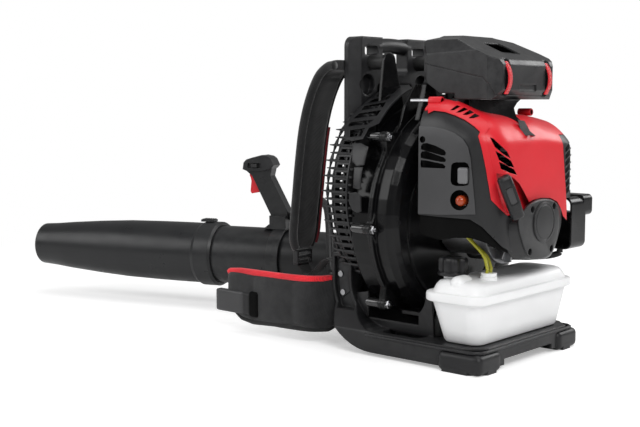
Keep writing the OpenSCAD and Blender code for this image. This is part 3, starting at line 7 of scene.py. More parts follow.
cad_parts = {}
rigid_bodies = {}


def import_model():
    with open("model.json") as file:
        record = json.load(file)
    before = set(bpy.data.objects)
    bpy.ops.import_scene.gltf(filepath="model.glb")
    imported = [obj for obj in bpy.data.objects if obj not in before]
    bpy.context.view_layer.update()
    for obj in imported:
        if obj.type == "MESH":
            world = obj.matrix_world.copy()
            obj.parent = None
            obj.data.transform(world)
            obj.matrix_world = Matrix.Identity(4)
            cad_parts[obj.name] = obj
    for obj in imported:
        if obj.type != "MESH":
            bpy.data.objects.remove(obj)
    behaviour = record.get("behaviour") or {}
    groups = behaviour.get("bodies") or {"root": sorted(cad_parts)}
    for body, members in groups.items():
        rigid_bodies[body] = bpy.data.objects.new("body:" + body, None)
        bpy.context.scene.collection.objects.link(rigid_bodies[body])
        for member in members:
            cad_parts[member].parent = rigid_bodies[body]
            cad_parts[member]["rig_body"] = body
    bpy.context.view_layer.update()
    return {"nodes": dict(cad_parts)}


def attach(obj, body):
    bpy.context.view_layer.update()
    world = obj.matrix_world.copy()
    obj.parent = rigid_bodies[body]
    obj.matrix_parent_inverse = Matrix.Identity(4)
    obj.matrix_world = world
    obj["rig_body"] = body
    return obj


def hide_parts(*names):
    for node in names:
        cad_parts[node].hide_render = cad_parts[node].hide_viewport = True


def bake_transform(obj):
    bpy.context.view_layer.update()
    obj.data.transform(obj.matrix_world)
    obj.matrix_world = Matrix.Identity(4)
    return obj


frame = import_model()
scene = bpy.context.scene
FRAME, MIDDLE, WAND = "frame_and_engine", "bellows_middle", "wand"
GLOW = 0.36  # floor's own light as the camera sees it

# ---- camera, fitted to the photograph ----
PHOTO_WIDTH, PHOTO_HEIGHT = 640, 427
cam_data = bpy.data.cameras.new("camera")
cam_data.lens = 62.2
cam_data.sensor_width = 36
camera = bpy.data.objects.new("camera", cam_data)
camera.location = (1.0075, -1.4751, 0.3990)
camera.rotation_euler = (math.radians(90 - 5.79), 0, math.radians(41.3))
scene.collection.objects.link(camera)
scene.camera = camera


# ---- materials ----
class Nodes:
    """A node tree, with short ways to add the usual nodes."""

    def __init__(self, tree):
        self.tree = tree

    def add(self, kind, **values):
        node = self.tree.nodes.new("ShaderNode" + kind)
        for key, value in values.items():
            if key in node.inputs:
                node.inputs[key].default_value = value
            else:
                setattr(node, key, value)
        return node

    def link(self, a, b):
        self.tree.links.new(a, b)

    def noise(self, scale, detail=3.0, rough=0.5, stretch=None):
        node = self.add("TexNoise", Scale=scale, Detail=detail, Roughness=rough)
        if stretch:
            mapping = self.add("Mapping")
            mapping.inputs["Scale"].default_value = stretch
            self.link(self.place, mapping.inputs["Vector"])
            self.link(mapping.outputs[0], node.inputs["Vector"])
        else:
            self.link(self.place, node.inputs["Vector"])
        return node.outputs["Fac"]

    def ramp(self, fac, low, high):
        node = self.add("ValToRGB")
        for end, place, color in zip(node.color_ramp.elements, (0.3, 0.7), (low, high)):
            end.position, end.color = place, (*color, 1)
        self.link(fac, node.inputs["Fac"])
        return node.outputs["Color"]

    def span(self, fac, low, high, a=0.3, b=0.7):
        node = self.add("MapRange", **{"From Min": a, "From Max": b, "To Min": low, "To Max": high})
        self.link(fac, node.inputs["Value"])
        return node.outputs["Result"]

    def bump(self, height, strength, distance, under=None):
        node = self.add("Bump", Strength=strength, Distance=distance)
        self.link(height, node.inputs["Height"])
        if under:
            self.link(under, node.inputs["Normal"])
        return node.outputs["Normal"]

    def math(self, operation, a, b):
        node = self.add("Math", operation=operation)
        self.link(a, node.inputs[0])
        self.link(b, node.inputs[1])
        return node.outputs[0]

    def mix(self, fac, a, b, blend="MIX"):
        node = self.add("MixRGB", blend_type=blend)
        for value, socket in zip((fac, a, b), node.inputs):
            if isinstance(value, (tuple, float)):
                socket.default_value = value
            else:
                self.link(value, socket)
        return node.outputs["Color"]


class Paint(Nodes):
    """A material's node tree."""

    def __init__(self, name):
        self.mat = bpy.data.materials.new(name)
        self.mat.use_nodes = True
        super().__init__(self.mat.node_tree)
        self.bsdf = self.tree.nodes["Principled BSDF"]
        self.place = self.add("TexCoord").outputs["Object"]

    def put(self, values):
        """Set the shader's inputs by name, each to a value or to another node's output."""
        for name, value in values.items():
            if isinstance(value, bpy.types.NodeSocket):
                self.link(value, self.bsdf.inputs[name])
            else:
                self.bsdf.inputs[name].default_value = value
        return self.mat


def shade(c, k):
    return tuple(min(1.0, x * k) for x in c)


def moulded(name, color, rough, grain=0.12, grain_scale=900, vary=0.15, wear=0.25, coat=0.0, metal=0.0,
            edge_r=0.0016, shine=0.4):
    """Moulded plastic or cast metal: fine grain, slow colour drift, dust and paler worn edges."""
    n = Paint(name)
    base = n.ramp(n.noise(9, 4), shade(color, 1 - vary), shade(color, 1 + vary))
    edge = n.span(n.add("NewGeometry").outputs["Pointiness"], 0.0, 1.0, 0.53, 0.62)
    scuff = n.span(n.noise(70, 5, 0.65), 0.0, wear, 0.35, 0.6)
    pale = tuple(min(1.0, x * 1.5 + 0.05) for x in color)
    soft = n.add("Bevel", Radius=edge_r, samples=4)
    fine = n.bump(n.noise(grain_scale, 2), grain, 0.0004, soft.outputs["Normal"])
    return n.put({"Base Color": n.mix(n.math("MULTIPLY", edge, scuff), base, (*pale, 1)),
                  "Roughness": n.span(n.noise(22, 5, 0.6), rough - 0.07, rough + 0.09),
                  "Normal": n.bump(n.noise(14, 2), 0.05, 0.004, fine),
                  "Metallic": metal, "Specular IOR Level": shine, "Coat Weight": coat, "Coat Roughness": 0.12})


def brushed(name, color, rough):
    """Turned or drawn steel, with fine lines and a few dull spots."""
    n = Paint(name)
    lines = n.noise(160, 3, 0.6, (1, 40, 1))
    return n.put({"Base Color": n.ramp(n.noise(30, 4), shade(color, 0.8), shade(color, 1.1)),
                  "Roughness": n.span(lines, rough - 0.08, rough + 0.12),
                  "Normal": n.bump(lines, 0.1, 0.0003), "Metallic": 1})


def fabric(name, color, thread=0.0011, puff=0.3):
    """Woven cover: two crossing threads, slubs and a soft sheen."""
    n = Paint(name)
    heights = []
    for turn in (0.0, math.pi / 2):
        mapping = n.add("Mapping")
        mapping.inputs["Rotation"].default_value = (0.5, turn, 0.3)
        n.link(n.place, mapping.inputs["Vector"])
        wave = n.add("TexWave", Scale=0.16 / thread, Distortion=0.6, Detail=1.0)
        n.link(mapping.outputs[0], wave.inputs["Vector"])
        heights.append(wave.outputs["Fac"])
    cross = n.math("MAXIMUM", *heights)
    tone = n.mix(cross, (*shade(color, 0.55), 1), (*shade(color, 1.25), 1))
    drift = n.ramp(n.noise(16, 4), (0.75, 0.75, 0.75), (1.2, 1.2, 1.2))
    return n.put({"Base Color": n.mix(0.8, tone, drift, "MULTIPLY"),
                  "Roughness": n.span(n.noise(60, 3), 0.8, 0.98),
                  "Normal": n.bump(n.noise(45, 3), puff, 0.003, n.bump(cross, 0.5, 0.0005)),
                  "Sheen Weight": 0.25, "Sheen Roughness": 0.5})


def cloudy(name, color, rough, density):
    """Blow-moulded natural plastic: faintly see-through, with soft streaks."""
    n = Paint(name)
    return n.put({"Base Color": n.ramp(n.noise(7, 4, 0.5, (1, 1, 3)), shade(color, 0.95), shade(color, 1.02)),
                  "Roughness": n.span(n.noise(30, 4), rough - 0.08, rough + 0.08),
                  "Normal": n.bump(n.noise(500, 2), 0.08, 0.0004),
                  "Subsurface Weight": density, "Subsurface Radius": (0.01, 0.01, 0.01)})


def pleated(name, color):
    """Filter paper and foam."""
    n = Paint(name)
    return n.put({"Base Color": n.ramp(n.noise(220, 5, 0.7), shade(color, 0.8), shade(color, 1.05)),
                  "Normal": n.bump(n.noise(700, 3), 0.4, 0.0006), "Roughness": 0.95})


BLACK = moulded("black_plastic", (0.012, 0.012, 0.013), 0.34, edge_r=0.004, shine=0.35)
GUARD = moulded("guard_plastic", (0.012, 0.012, 0.013), 0.36, edge_r=0.0012, shine=0.35)
HOUSE = moulded("housing_plastic", (0.003, 0.003, 0.0034), 0.2, grain=0.04, coat=0.1, edge_r=0.003, shine=0.2)
TUBE = moulded("tube_plastic", (0.013, 0.0135, 0.0145), 0.33, grain=0.08, vary=0.08)
GREY = moulded("grey_plastic", (0.017, 0.017, 0.018), 0.34, grain=0.1, edge_r=0.003)
KNOB = moulded("knob_plastic", (0.16, 0.16, 0.165), 0.35, grain=0.08)
PANEL = moulded("panel_plastic", (0.05, 0.05, 0.052), 0.4, grain=0.1)
RED = moulded("red_plastic", (0.68, 0.012, 0.022), 0.36, grain=0.04, vary=0.04, wear=0.1, coat=0.08)
PRIMER = moulded("primer_rubber", (0.35, 0.045, 0.01), 0.2, grain=0.03, coat=0.5)
RUBBER = moulded("rubber", (0.008, 0.008, 0.008), 0.5, grain=0.25, grain_scale=1200)
TANK = cloudy("tank_plastic", (0.93, 0.935, 0.94), 0.38, 0.15)
CAST = moulded("cast_aluminium", (0.36, 0.36, 0.37), 0.45, grain=0.4, grain_scale=420, metal=1.0)
STEEL = brushed("steel", (0.62, 0.62, 0.64), 0.28)
GUN = moulded("blackened_steel", (0.3, 0.3, 0.31), 0.14, grain=0.02, metal=1.0, shine=0.5)
DARK = moulded("dark_steel", (0.02, 0.02, 0.021), 0.34, grain=0.12, metal=0.4)
GLOSS = moulded("gloss_sleeve", (0.004, 0.004, 0.0045), 0.1, grain=0.02, coat=0.6, shine=0.6)
# near-black without shine: painted shade on the covers' inner sides, the linings, the lower cowl and the strips
# behind the latches
DEAD_BLACK = moulded("dead_black", (0.002, 0.002, 0.002), 0.7, wear=0.0, shine=0.1)
CLOTH = fabric("padding_cover", (0.009, 0.009, 0.01))
MESHY = fabric("spacer_mesh", (0.0035, 0.0035, 0.004), thread=0.0012)
WEB = fabric("webbing", (0.004, 0.004, 0.0045), thread=0.0016, puff=0.05)
# the red binding at about a fifth of its brightness: painted shade on the shoulder straps' piping
SHADED_RED = fabric("red_binding_painted_shade", (0.16, 0.004, 0.01), thread=0.0012, puff=0.05)
PIPING = fabric("red_binding", (0.75, 0.012, 0.025), thread=0.0012, puff=0.05)
PAPER = pleated("filter_paper", (0.8, 0.74, 0.6))
YELLOW = cloudy("fuel_line", (0.42, 0.4, 0.03), 0.3, 0.2)
ROPE = fabric("rope", (0.7, 0.7, 0.67), thread=0.0009, puff=0.1)

looks = {
    BLACK: "base_frame back_frame",
    DARK: "belt_plates muffler",
    GUN: "housing_screws frame_rivets",
    STEEL: "elbow_clamp tube_clamp crankshaft main_bearings spark_plug",
    RUBBER: "isolators plug_lead intake_duct drain_hose bellows_rear bellows_ring bellows_front starter_grip",
    GUARD: "intake_guard",
    HOUSE: "housing_front housing_rear elbow impeller ignition_coil louvre_cover fuel_cap muffler_guard",
    CAST: "flywheel crankcase engine_cylinder piston carburettor",
    GREY: "filter_base filter_cover side_cover starter_housing choke_knob stop_switch conduit_rear conduit_front",
    RED: "red_cover latch_left latch_right trigger",
    PRIMER: "primer_bulb",
    TANK: "fuel_tank tank_grommet starter_pulley",
    TUBE: "control_tube grip_body nozzle nozzle_latch",
    PAPER: "filter_element",
    YELLOW: "fuel_lines",
    ROPE: "starter_rope",
    CLOTH: "back_pad shoulder_straps waist_belt",
    WEB: "harness_webbing",
}
for material, names in looks.items():
    for name in names.split():
        node = frame["nodes"][name]
        node.data.materials.clear()
        node.data.materials.append(material)


# ---- shapes ----
def mm(p):
    return Vector(p) / 1000


def body_of(node):
    return frame["nodes"][node]["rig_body"]


def placed(mesh, slots=(), index=0):
    """Object of a mesh, with every face in the material slot at index."""
    for material in slots:
        mesh.materials.append(material)
    for f in mesh.polygons:
        f.material_index = index
    o = bpy.data.objects.new(mesh.name, mesh)
    scene.collection.objects.link(o)
    return o


def loose(verts, faces, slots=(), name="skin"):
    """Object from points and faces, normals outward, not on a body yet."""
    mesh = bpy.data.meshes.new(name)
    mesh.from_pydata([tuple(v) for v in verts], [], faces)
    fix = bmesh.new()
    fix.from_mesh(mesh)
    bmesh.ops.recalc_face_normals(fix, faces=fix.faces)
    fix.to_mesh(mesh)
    fix.free()
    return placed(mesh, slots)


def piece(name, verts, faces, material, body=FRAME, smooth=True, slot=None):
    """Loose object, put on its body. The slot is not used."""
    o = loose(verts, faces, (material,), name)
    for f in o.data.polygons:
        f.use_smooth = smooth
    if body:
        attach(o, body)
    return o


def finish(o, name, sharp=32, body=FRAME, replaced=None):
    """Name and smooth a loose object up to the sharp angle, and put it on its body."""
    o.name = o.data.name = name
    for f in o.data.polygons:
        f.use_smooth = True
    o.data.set_sharp_from_angle(angle=math.radians(sharp))
    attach(o, body)
    if replaced:
        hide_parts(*replaced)
    return o


def evaluated(o):
    """The object as its modifiers leave it."""
    return o.evaluated_get(bpy.context.evaluated_depsgraph_get())


def baked(o):
    """New mesh of the object, with its modifiers applied."""
    return bpy.data.meshes.new_from_object(evaluated(o))


def power(x, p):
    return math.copysign(abs(x) ** p, x)


def oval(u, v, ru, rv, n=20):
    turns = [2 * math.pi * i / n for i in range(n)]
    return [(u + ru * math.cos(a), v + rv * math.sin(a)) for a in turns]


def ring(r, n=16):
    return oval(0, 0, r, r, n)


def pad_outline(w, t, n=40, flat=0.5, round_=0.6):
    """Squared-off oval, w by t. Lower powers make squarer sides."""
    return [(w / 2 * power(a, flat), t / 2 * power(b, round_)) for a, b in ring(1, n)]


def curve(points, per):
    """Catmull-Rom curve through points in millimetres."""
    points = [mm(p) for p in points]
    out = []
    last = len(points) - 1
    for i in range(last):
        a, b = points[max(i - 1, 0)], points[i]
        c, d = points[i + 1], points[min(i + 2, last)]
        for k in range(per):
            t = k / per
            square = 2 * b + (c - a) * t + (2 * a - 5 * b + 4 * c - d) * t * t
            out.append(0.5 * (square + (3 * b - a - 3 * c + d) * t ** 3))
    out.append(points[-1])
    return out


def loft(levels):
    """Closed skin through levels, which are rings of equally many points."""
    n, last = len(levels[0]), len(levels) - 1
    faces = []
    for i in range(last):
        for j in range(n):
            k = (j + 1) % n
            faces.append([i * n + j, i * n + k, (i + 1) * n + k, (i + 1) * n + j])
    faces += [list(range(n))[::-1], [last * n + j for j in range(n)]]
    return [p for level in levels for p in level], faces


def sweep(path, side, outline):
    """Closed skin of an outline carried along a path. outline(t) gives its points at share t."""
    levels = []
    last = len(path) - 1
    for i, p in enumerate(path):
        t = (path[min(i + 1, last)] - path[max(i - 1, 0)]).normalized()
        u = (side - side.dot(t) * t).normalized()
        v = t.cross(u)
        levels.append([p + a * u + b * v for a, b in outline(i / last)])
    return loft(levels)


def prism_faces(n, first=0):
    """Faces of a prism with n points at each end, from point number first on."""
    low, high = [first + i for i in range(n)], [first + n + i for i in range(n)]
    return [low, high[::-1]] + [[low[i], low[(i + 1) % n], high[(i + 1) % n], high[i]] for i in range(n)]


def rounded(low, high, r, cells, slots=(), warp=None, index=0):
    """Grid skin of a box with rounded edges, in millimetres."""
    low, high = Vector(low), Vector(high)
    grid = bmesh.new()
    bmesh.ops.create_cube(grid, size=2)
    bmesh.ops.subdivide_edges(grid, edges=grid.edges, cuts=cells, use_grid_fill=True)
    for v in grid.verts:
        q = Vector([low[k] + (v.co[k] + 1) / 2 * (high[k] - low[k]) for k in range(3)])
        core = Vector([min(max(q[k], low[k] + r), high[k] - r) for k in range(3)])
        p = core + (q - core).normalized() * r
        v.co = mm(warp(p) if warp else p)
    mesh = bpy.data.meshes.new("skin")
    grid.to_mesh(mesh)
    grid.free()
    return placed(mesh, slots, index)


X_WAY, Y_WAY, UP = Vector((1, 0, 0)), Vector((0, 1, 0)), Vector((0, 0, 1))

# tube frame: distance along, sideways and up from the tube's axis
TURN = math.radians(18)
TUBE_O = Vector((-0.099808, 0.173768, 0.1))
TUBE_T = Vector((-math.cos(TURN), -math.sin(TURN), 0))
TUBE_L = Vector((math.sin(TURN), -math.cos(TURN), 0))


def at_tube(s, l=0.0, h=0.0):
    return TUBE_O + (s * TUBE_T + l * TUBE_L + h * UP) / 1000


def turned(name, profile, n=96):
    """Solid of revolution about the tube's axis, from [distance, radius] points in millimetres."""
    m = len(profile)
    verts = [at_tube(s, r * a, r * b) for a, b in ring(1, n) for s, r in profile]
    faces = []
    for j in range(n):
        k = (j + 1) % n
        for i in range(m):
            q = (i + 1) % m
            faces.append([j * m + i, j * m + q, k * m + q, k * m + i])
    return piece(name, verts, faces, RUBBER, None)


# ---- cords ----
def hose(name, points, r, material, slot, replaced, body=FRAME):
    """Round cord of radius r through the points, all in millimetres."""
    path = curve(points, 6)
    outline = ring(r / 1000)
    o = piece(name, *sweep(path, Vector((0.31, 0.2, 0.93)), lambda t: outline), material, body, slot=slot)
    if replaced:
        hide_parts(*replaced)
    return o, path


conduit_mm = [at_tube(341.7, 0, 80) * 1000, at_tube(334, 0, 82) * 1000, (-400, 73, 198), (-372, 68, 210),
    (-330, 48, 219), (-290, 20, 210), (-258, -10, 182), (-232, -38, 146), (-208, -64, 118), (-186, -84, 108),
    (-179, -94.5, 113), (-170, -95, 113), (-165.4, -95, 113)]
SPLIT = 4  # the conduit changes from one body to the next at this point
front, front_path = hose("conduit_wand_end", conduit_mm[:SPLIT + 1], 7, GREY, "cover_grey",
    ["conduit_front"], None)
rear, rear_path = hose("conduit_frame_end", conduit_mm[SPLIT:][::-1], 7, GREY, "cover_grey",
    ["conduit_rear"], None)
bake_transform(rear)
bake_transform(front)

GROMMET = (114, -74)
CARB_LOW = 253  # underside of the carburettor, where the fuel lines end
for side, y, way, end in (
        ("left", -79, [(112, -88, 172), (92, -98, 196), (64, -100, 222), (44, -84, 238)], (42, -80)),
        ("right", -69, [(108, -72, 168), (90, -82, 188), (72, -84, 214), (49, -71, 237)], (48, -66))):
    rise = [(GROMMET[0], y, z) for z in (130, 138, 145, 151)]
    ends = [(*end, CARB_LOW - 5), (*end, CARB_LOW - 0.4)]
    hose("fuel_line_" + side, rise + way + ends, 2.5, YELLOW, "line_yellow",
         ["fuel_lines"] if side == "left" else [])
hose("drain_hose_skin", [(120, 128, 161.6), (120, 128, 157), (118, 127, 152), (100, 116, 147), (60, 96, 144),
    (26, 60, 146), (14, 30, 150), (14, 24, 158)], 5, RUBBER, "grip_rubber", ["drain_hose"])

# ---- bellows ----
RIBS, MID, CUFF, BORE, CLEAR = 6, 83.5, 46.5, 44.1, 0.3
CUFF_LENGTH, FOLD_DEPTH, FOLD_WALL, STEPS_PER_RIB = 16, 3.0, 2.4, 16


def bellows(name, start, end, node):
    """Half of the bellows: smooth cuff at start, rounded ribs up to end."""
    way = 1 if end > start else -1
    first = start + CUFF_LENGTH * way
    folds = []
    steps = RIBS * STEPS_PER_RIB
    for i in range(steps + 1):
        t = i / steps
        wave = 0.5 - 0.5 * math.cos(2 * math.pi * RIBS * t)
        folds.append((first + (end - first) * t, CUFF + FOLD_DEPTH * wave ** 0.8))
    inside = [(s, r - FOLD_WALL) for s, r in folds[::-1]]
    o = turned(name, [(start, BORE), (start, CUFF), (first, CUFF)] + folds + inside + [(first, BORE)])
    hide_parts(node)
    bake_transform(o)


bellows("bellows_folds_rear", 17, MID - 4 - CLEAR, "bellows_rear")
bellows("bellows_folds_front", 152, MID + 4 + CLEAR, "bellows_front")


# ---- harness ----
SWELL_FRAMES = 20


def swell(o, cap, voxel=0.005):
    """Puff a pad up with Cloth: remesh, some frames of pressure, no point moved further than cap."""
    soft = placed(o.data.copy())
    shape = soft.modifiers.new("even", "REMESH")
    shape.mode, shape.voxel_size = "VOXEL", voxel
    mesh = baked(soft)
    soft.modifiers.clear()
    soft.data = mesh
    start = [v.co.copy() for v in mesh.vertices]
    cloth = soft.modifiers.new("cloth", "CLOTH")
    cloth.settings.quality = 5
    cloth.settings.mass = 0.2
    cloth.settings.tension_stiffness = 12
    cloth.settings.bending_stiffness = 0.6
    cloth.settings.use_pressure = True
    cloth.settings.uniform_pressure_force = 4
    cloth.settings.effector_weights.gravity = 0
    cloth.collision_settings.use_collision = False
    for number in range(1, SWELL_FRAMES + 1):
        scene.frame_set(number)
    puffed = [v.co.copy() for v in evaluated(soft).data.vertices]
    scene.frame_set(1)
    soft.modifiers.clear()
    for v, a, b in zip(mesh.vertices, start, puffed):
        way = b - a
        v.co = a + way * min(1.0, cap / way.length) if way.length > 1e-9 else a
    fix = bmesh.new()
    fix.from_mesh(mesh)
    bmesh.ops.smooth_vert(fix, verts=fix.verts, factor=0.5, use_axis_x=True, use_axis_y=True, use_axis_z=True)
    fix.to_mesh(mesh)
    fix.free()
    soft.modifiers.new("divide", "SUBSURF").levels = 1
    done = baked(soft)
    done.materials.clear()
    done.materials.append(o.data.materials[0])
    for f in done.polygons:
        f.use_smooth, f.material_index = True, 0
    done.name = o.data.name + "_soft"
    o.data = done
    bpy.data.objects.remove(soft)


BACK_X = -146.3  # front face of the back frame
STRAP_TOP, STRAP_FALL = 456, 304
STRAP_WIDTH, STRAP_THICK, STRAP_EDGE = 0.056, 0.018, 0.0275


def strap(name, lean, side):
    """Shoulder pad: puffed spacer mesh with a bound edge, curved over and down."""
    route = [(BACK_X, STRAP_TOP), (-162, 454), (-182, 438), (-201, 402), (-215, 356), (-224, 300), (-231, 240),
        (-236, 196), (-241, 152)]
    path = curve([(x, side * (-98 + lean * (STRAP_TOP - z) / STRAP_FALL), z) for x, z in route], 12)
    last = len(path) - 1

    def taper(t):
        return 1 - 0.42 * max(0.0, (t - 0.9) / 0.1) ** 2

    def outline(t):
        puff = 0.93 + 0.07 * math.sin(math.pi * 14 * t) ** 2
        return pad_outline(STRAP_WIDTH * taper(t), STRAP_THICK * puff, 48, 0.42, 0.62)

    def along_edge(part, points, profile, material):
        return piece(name + part, *sweep(points, Y_WAY, lambda t: profile), material, slot="padding")

    pad = piece(name, *sweep(path, Y_WAY, outline), MESHY, slot="padding")
    swell(pad, 0.0015, 0.004)
    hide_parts("shoulder_straps")
    left, right = [[p + s * STRAP_EDGE * taper(i / last) * Y_WAY for i, p in enumerate(path)][1:-1]
        for s in (-1, 1)]
    along_edge("_roll", left, ring(0.0072, 14), WEB)
    along_edge("_binding", right, pad_outline(0.0045, 0.0135, 14, 0.8, 0.7), WEB)
    # piping in the darkened red binding: painted shade
    trim = along_edge("_piping", right[len(right) // 2:-2], ring(0.0034, 12), SHADED_RED)
    trim.data.transform(Matrix.Translation((0.005, 0.003, 0)))


strap("strap_left", 0, 1)
strap("strap_right", 50, -1)

# waist belt wing with channels and a bound top edge. The tables give its edges, by share of the path
belt_mm = [(-170.5, -90), (-171, -104), (-182, -122), (-202, -134), (-250, -139), (-300, -139), (-350, -138),
    (-380, -137)]
belt_path = curve([(x, y, 66) for x, y in belt_mm], 12)
BELT_LOW = [(0.0, -20), (0.08, -36), (0.2, -43), (0.62, -43), (0.76, -46), (0.84, -42), (0.9, -31), (0.95, -14),
    (1.0, 4)]
BELT_TOP = [(0.0, 30), (0.06, 40), (0.15, 43), (0.85, 41), (0.97, 38), (1.0, 34)]


def along(table, t):
    for (t0, a), (t1, b) in zip(table, table[1:]):
        if t <= t1:
            return a + (b - a) * (t - t0) / (t1 - t0)
    return table[-1][1]


def belt_outline(t):
    puff = 0.0078 * (0.6 + 0.4 * abs(math.sin(4 * math.pi * t)) ** 0.6)
    if t > 0.97:
        puff *= 1 - 0.5 * ((t - 0.97) / 0.03) ** 2
    top, low = along(BELT_TOP, t) / 1000, along(BELT_LOW, t) / 1000
    return [((top + low) / 2 + a, b) for a, b in pad_outline(top - low, 2 * puff, 44, 0.42, 0.6)]


belt = piece("belt_wing", *sweep(belt_path, UP, belt_outline), CLOTH, slot="padding")
swell(belt, 0.0015, 0.004)
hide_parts("waist_belt")
last = len(belt_path) - 1
for name, table, way, tall, material in (("belt_binding_top", BELT_TOP, 1, 0.0105, PIPING),
                                         ("belt_binding_low", BELT_LOW, -1, 0.008, WEB)):
    edge = [p + UP * (along(table, i / last) / 1000 - way * 0.0005) for i, p in enumerate(belt_path)][1:-1]
    bound = pad_outline(tall, 0.0105, 16, 0.7, 0.7)
    piece(name, *sweep(edge, UP, lambda t: bound), material, slot="padding")


def back_pad(rows=72):
    """Crowned cushion with sewn channels."""
    levels = []
    for i in range(rows + 1):
        t = i / rows
        crown = math.sin(math.pi * min(max(t, 0.02), 0.98)) ** 0.4
        seam = 1 - 0.3 * abs(math.cos(3 * math.pi * t)) ** 14
        half = 84 * (0.72 + 0.28 * crown) - 5 * math.sin(math.pi * t)
        deep = 6 + 16 * crown * seam
        outline = pad_outline(deep, 2 * half, 48, 0.55, 0.7)
        levels.append([mm((BACK_X - deep / 2 - a, b, 176 + 236 * t)) for a, b in outline])
    return piece("back_cushion", *loft(levels), MESHY, slot="padding")


cushion = back_pad()
swell(cushion, 0.004)
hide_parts("back_pad")


# webbing and ladder buckles below the ends of the straps
END_X, END_Z = -241.2, 152
for side in ("left", "right"):
    y, rail_y, rail_z, drop, end_x = (-98, -97, 138, 2, -165.4) if side == "left" else (48, 50, 97, 5.6, -164.5)
    route = [(END_X, y, END_Z - 20), (END_X + 1, y, END_Z - 28), (END_X + 20, y + (rail_y - y) * 0.4, END_Z - 44),
        (-187, rail_y, rail_z), (-171, rail_y, rail_z), (end_x, rail_y, rail_z)]
    flat = [(0.013, -0.0009), (0.013, 0.0009), (-0.013, 0.0009), (-0.013, -0.0009)]
    skin = sweep(curve(route, 8), Y_WAY, lambda t: flat)
    web = piece("webbing_" + side, *skin, WEB, smooth=False, slot="padding")
    if side == "left":
        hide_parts("harness_webbing")
    # buckle frame: three bars between two cheeks
    bars = bmesh.new()
    boxes = [((9, 36, 4), (END_X, y, z)) for z in (END_Z - drop - 2, END_Z - 14, END_Z - 25)]
    boxes += [((10, 4.5, 27 - drop), (END_X, y + s * 17, END_Z - (27 + drop) / 2)) for s in (-1, 1)]
    for size, place in boxes:
        made = bmesh.ops.create_cube(bars, size=1)
        bmesh.ops.scale(bars, vec=mm(size), verts=made["verts"])
        bmesh.ops.translate(bars, vec=mm(place), verts=made["verts"])
    mesh = bpy.data.meshes.new("buckle_" + side)
    bars.to_mesh(mesh)
    bars.free()
    buckle = placed(mesh, (BLACK,))
    bevel = buckle.modifiers.new("bevel", "BEVEL")
    bevel.width, bevel.segments = 0.0012, 2
    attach(buckle, FRAME)

# ---- shapes placed by the photograph ----
FOCAL = PHOTO_WIDTH * cam_data.lens / cam_data.sensor_width
LOOK = camera.rotation_euler.to_matrix()
EYE = Vector(camera.location)


def ray(u, v):
    """Way from the camera through a pixel, one metre deep."""
    return LOOK @ Vector(((u - PHOTO_WIDTH / 2) / FOCAL, (PHOTO_HEIGHT / 2 - v) / FOCAL, -1))


def on_plane(u, v, axis, value):
    """Where a pixel's ray meets the plane axis = value, in millimetres."""
    way = ray(u, v)
    return (EYE + way * ((value / 1000 - EYE[axis]) / way[axis])) * 1000


def prisms(outlines, near=1.3, far=1.78):
    """Cutter through the photograph's outlines, between two depths in front of the camera."""
    verts, faces = [], []
    for outline in outlines:
        faces += prism_faces(len(outline), len(verts))
        verts += [EYE + ray(u, v) * d for d in (near, far) for u, v in outline]
    return loose(verts, faces)


def extruded(outline, axis, low, high):
    """Closed solid of an outline in the other two axes, in millimetres."""
    verts = []
    for end in (low, high):
        for a, b in outline:
            p = [a, b]
            p.insert(axis, end)
            verts.append(mm(p))
    return loose(verts, prism_faces(len(outline)))


def brick(low, high):
    (x0, y0, z0), (x1, y1, z1) = low, high
    return extruded([(x0, y0), (x1, y0), (x1, y1), (x0, y1)], 2, z0, z1)


def cut(a, b, how="DIFFERENCE"):
    """Boolean of two loose meshes. b is used up."""
    mod = a.modifiers.new("cut", "BOOLEAN")
    mod.operation, mod.solver, mod.object = how, "EXACT", b
    mesh = baked(a)
    a.modifiers.clear()
    a.data = mesh
    bpy.data.objects.remove(b)
    return a


# ---- engine covers ----
COVER_LOW, COVER_HIGH, COVER_ROUND = Vector((-70, -128, 96)), Vector((150, 133, 386)), 46
COVER_FRONT = 22.2  # the covers' front edge
COVER_WALL = 3
PRIMER_AT, CHOKE_AT = (97, 254), (98, 293)


def sag(p):
    """The covers' top falls to the rear, and more at its right corner."""
    high = min(max((p.z - 300) / 80, 0.0), 1.0)
    high = high * high * (3 - 2 * high)
    down = 0.14 * max(0.0, p.x - 60) + 0.13 * max(0.0, p.y - 20) + 0.0006 * max(0.0, p.y - 50) ** 2
    wide = min(max((p.y - 60) / 70, 0.0), 1.0) ** 2 * min(max((376 - p.z) / 50, 0.0), 1.0)
    arch = min(max((118 - p.x) / 70, 0.0), 1.0) * min(max((-30 - p.y) / 50, 0.0), 1.0)
    return Vector((p.x, p.y + 10 * wide, p.z + (15 * arch * arch * (3 - 2 * arch) - down) * high))


def cover_skin(inset, material, index=0):
    grow = Vector((inset,) * 3)
    return rounded(COVER_LOW + grow, COVER_HIGH - grow, COVER_ROUND - inset, 34, (material, DEAD_BLACK), sag, index)


def cover_shell(inset, wall, material):
    """Open-fronted shell of the covers, its inner side in dead black as painted shade."""
    shell = cut(cover_skin(inset, material), cover_skin(inset + wall, material, 1))
    return cut(shell, brick((-200, -200, 0), (COVER_FRONT, 200, 500)))


def knob_hole(o, middle, r):
    """Round hole through the left side."""
    return cut(o, extruded(oval(*middle, r, r), 1, -140, -100))


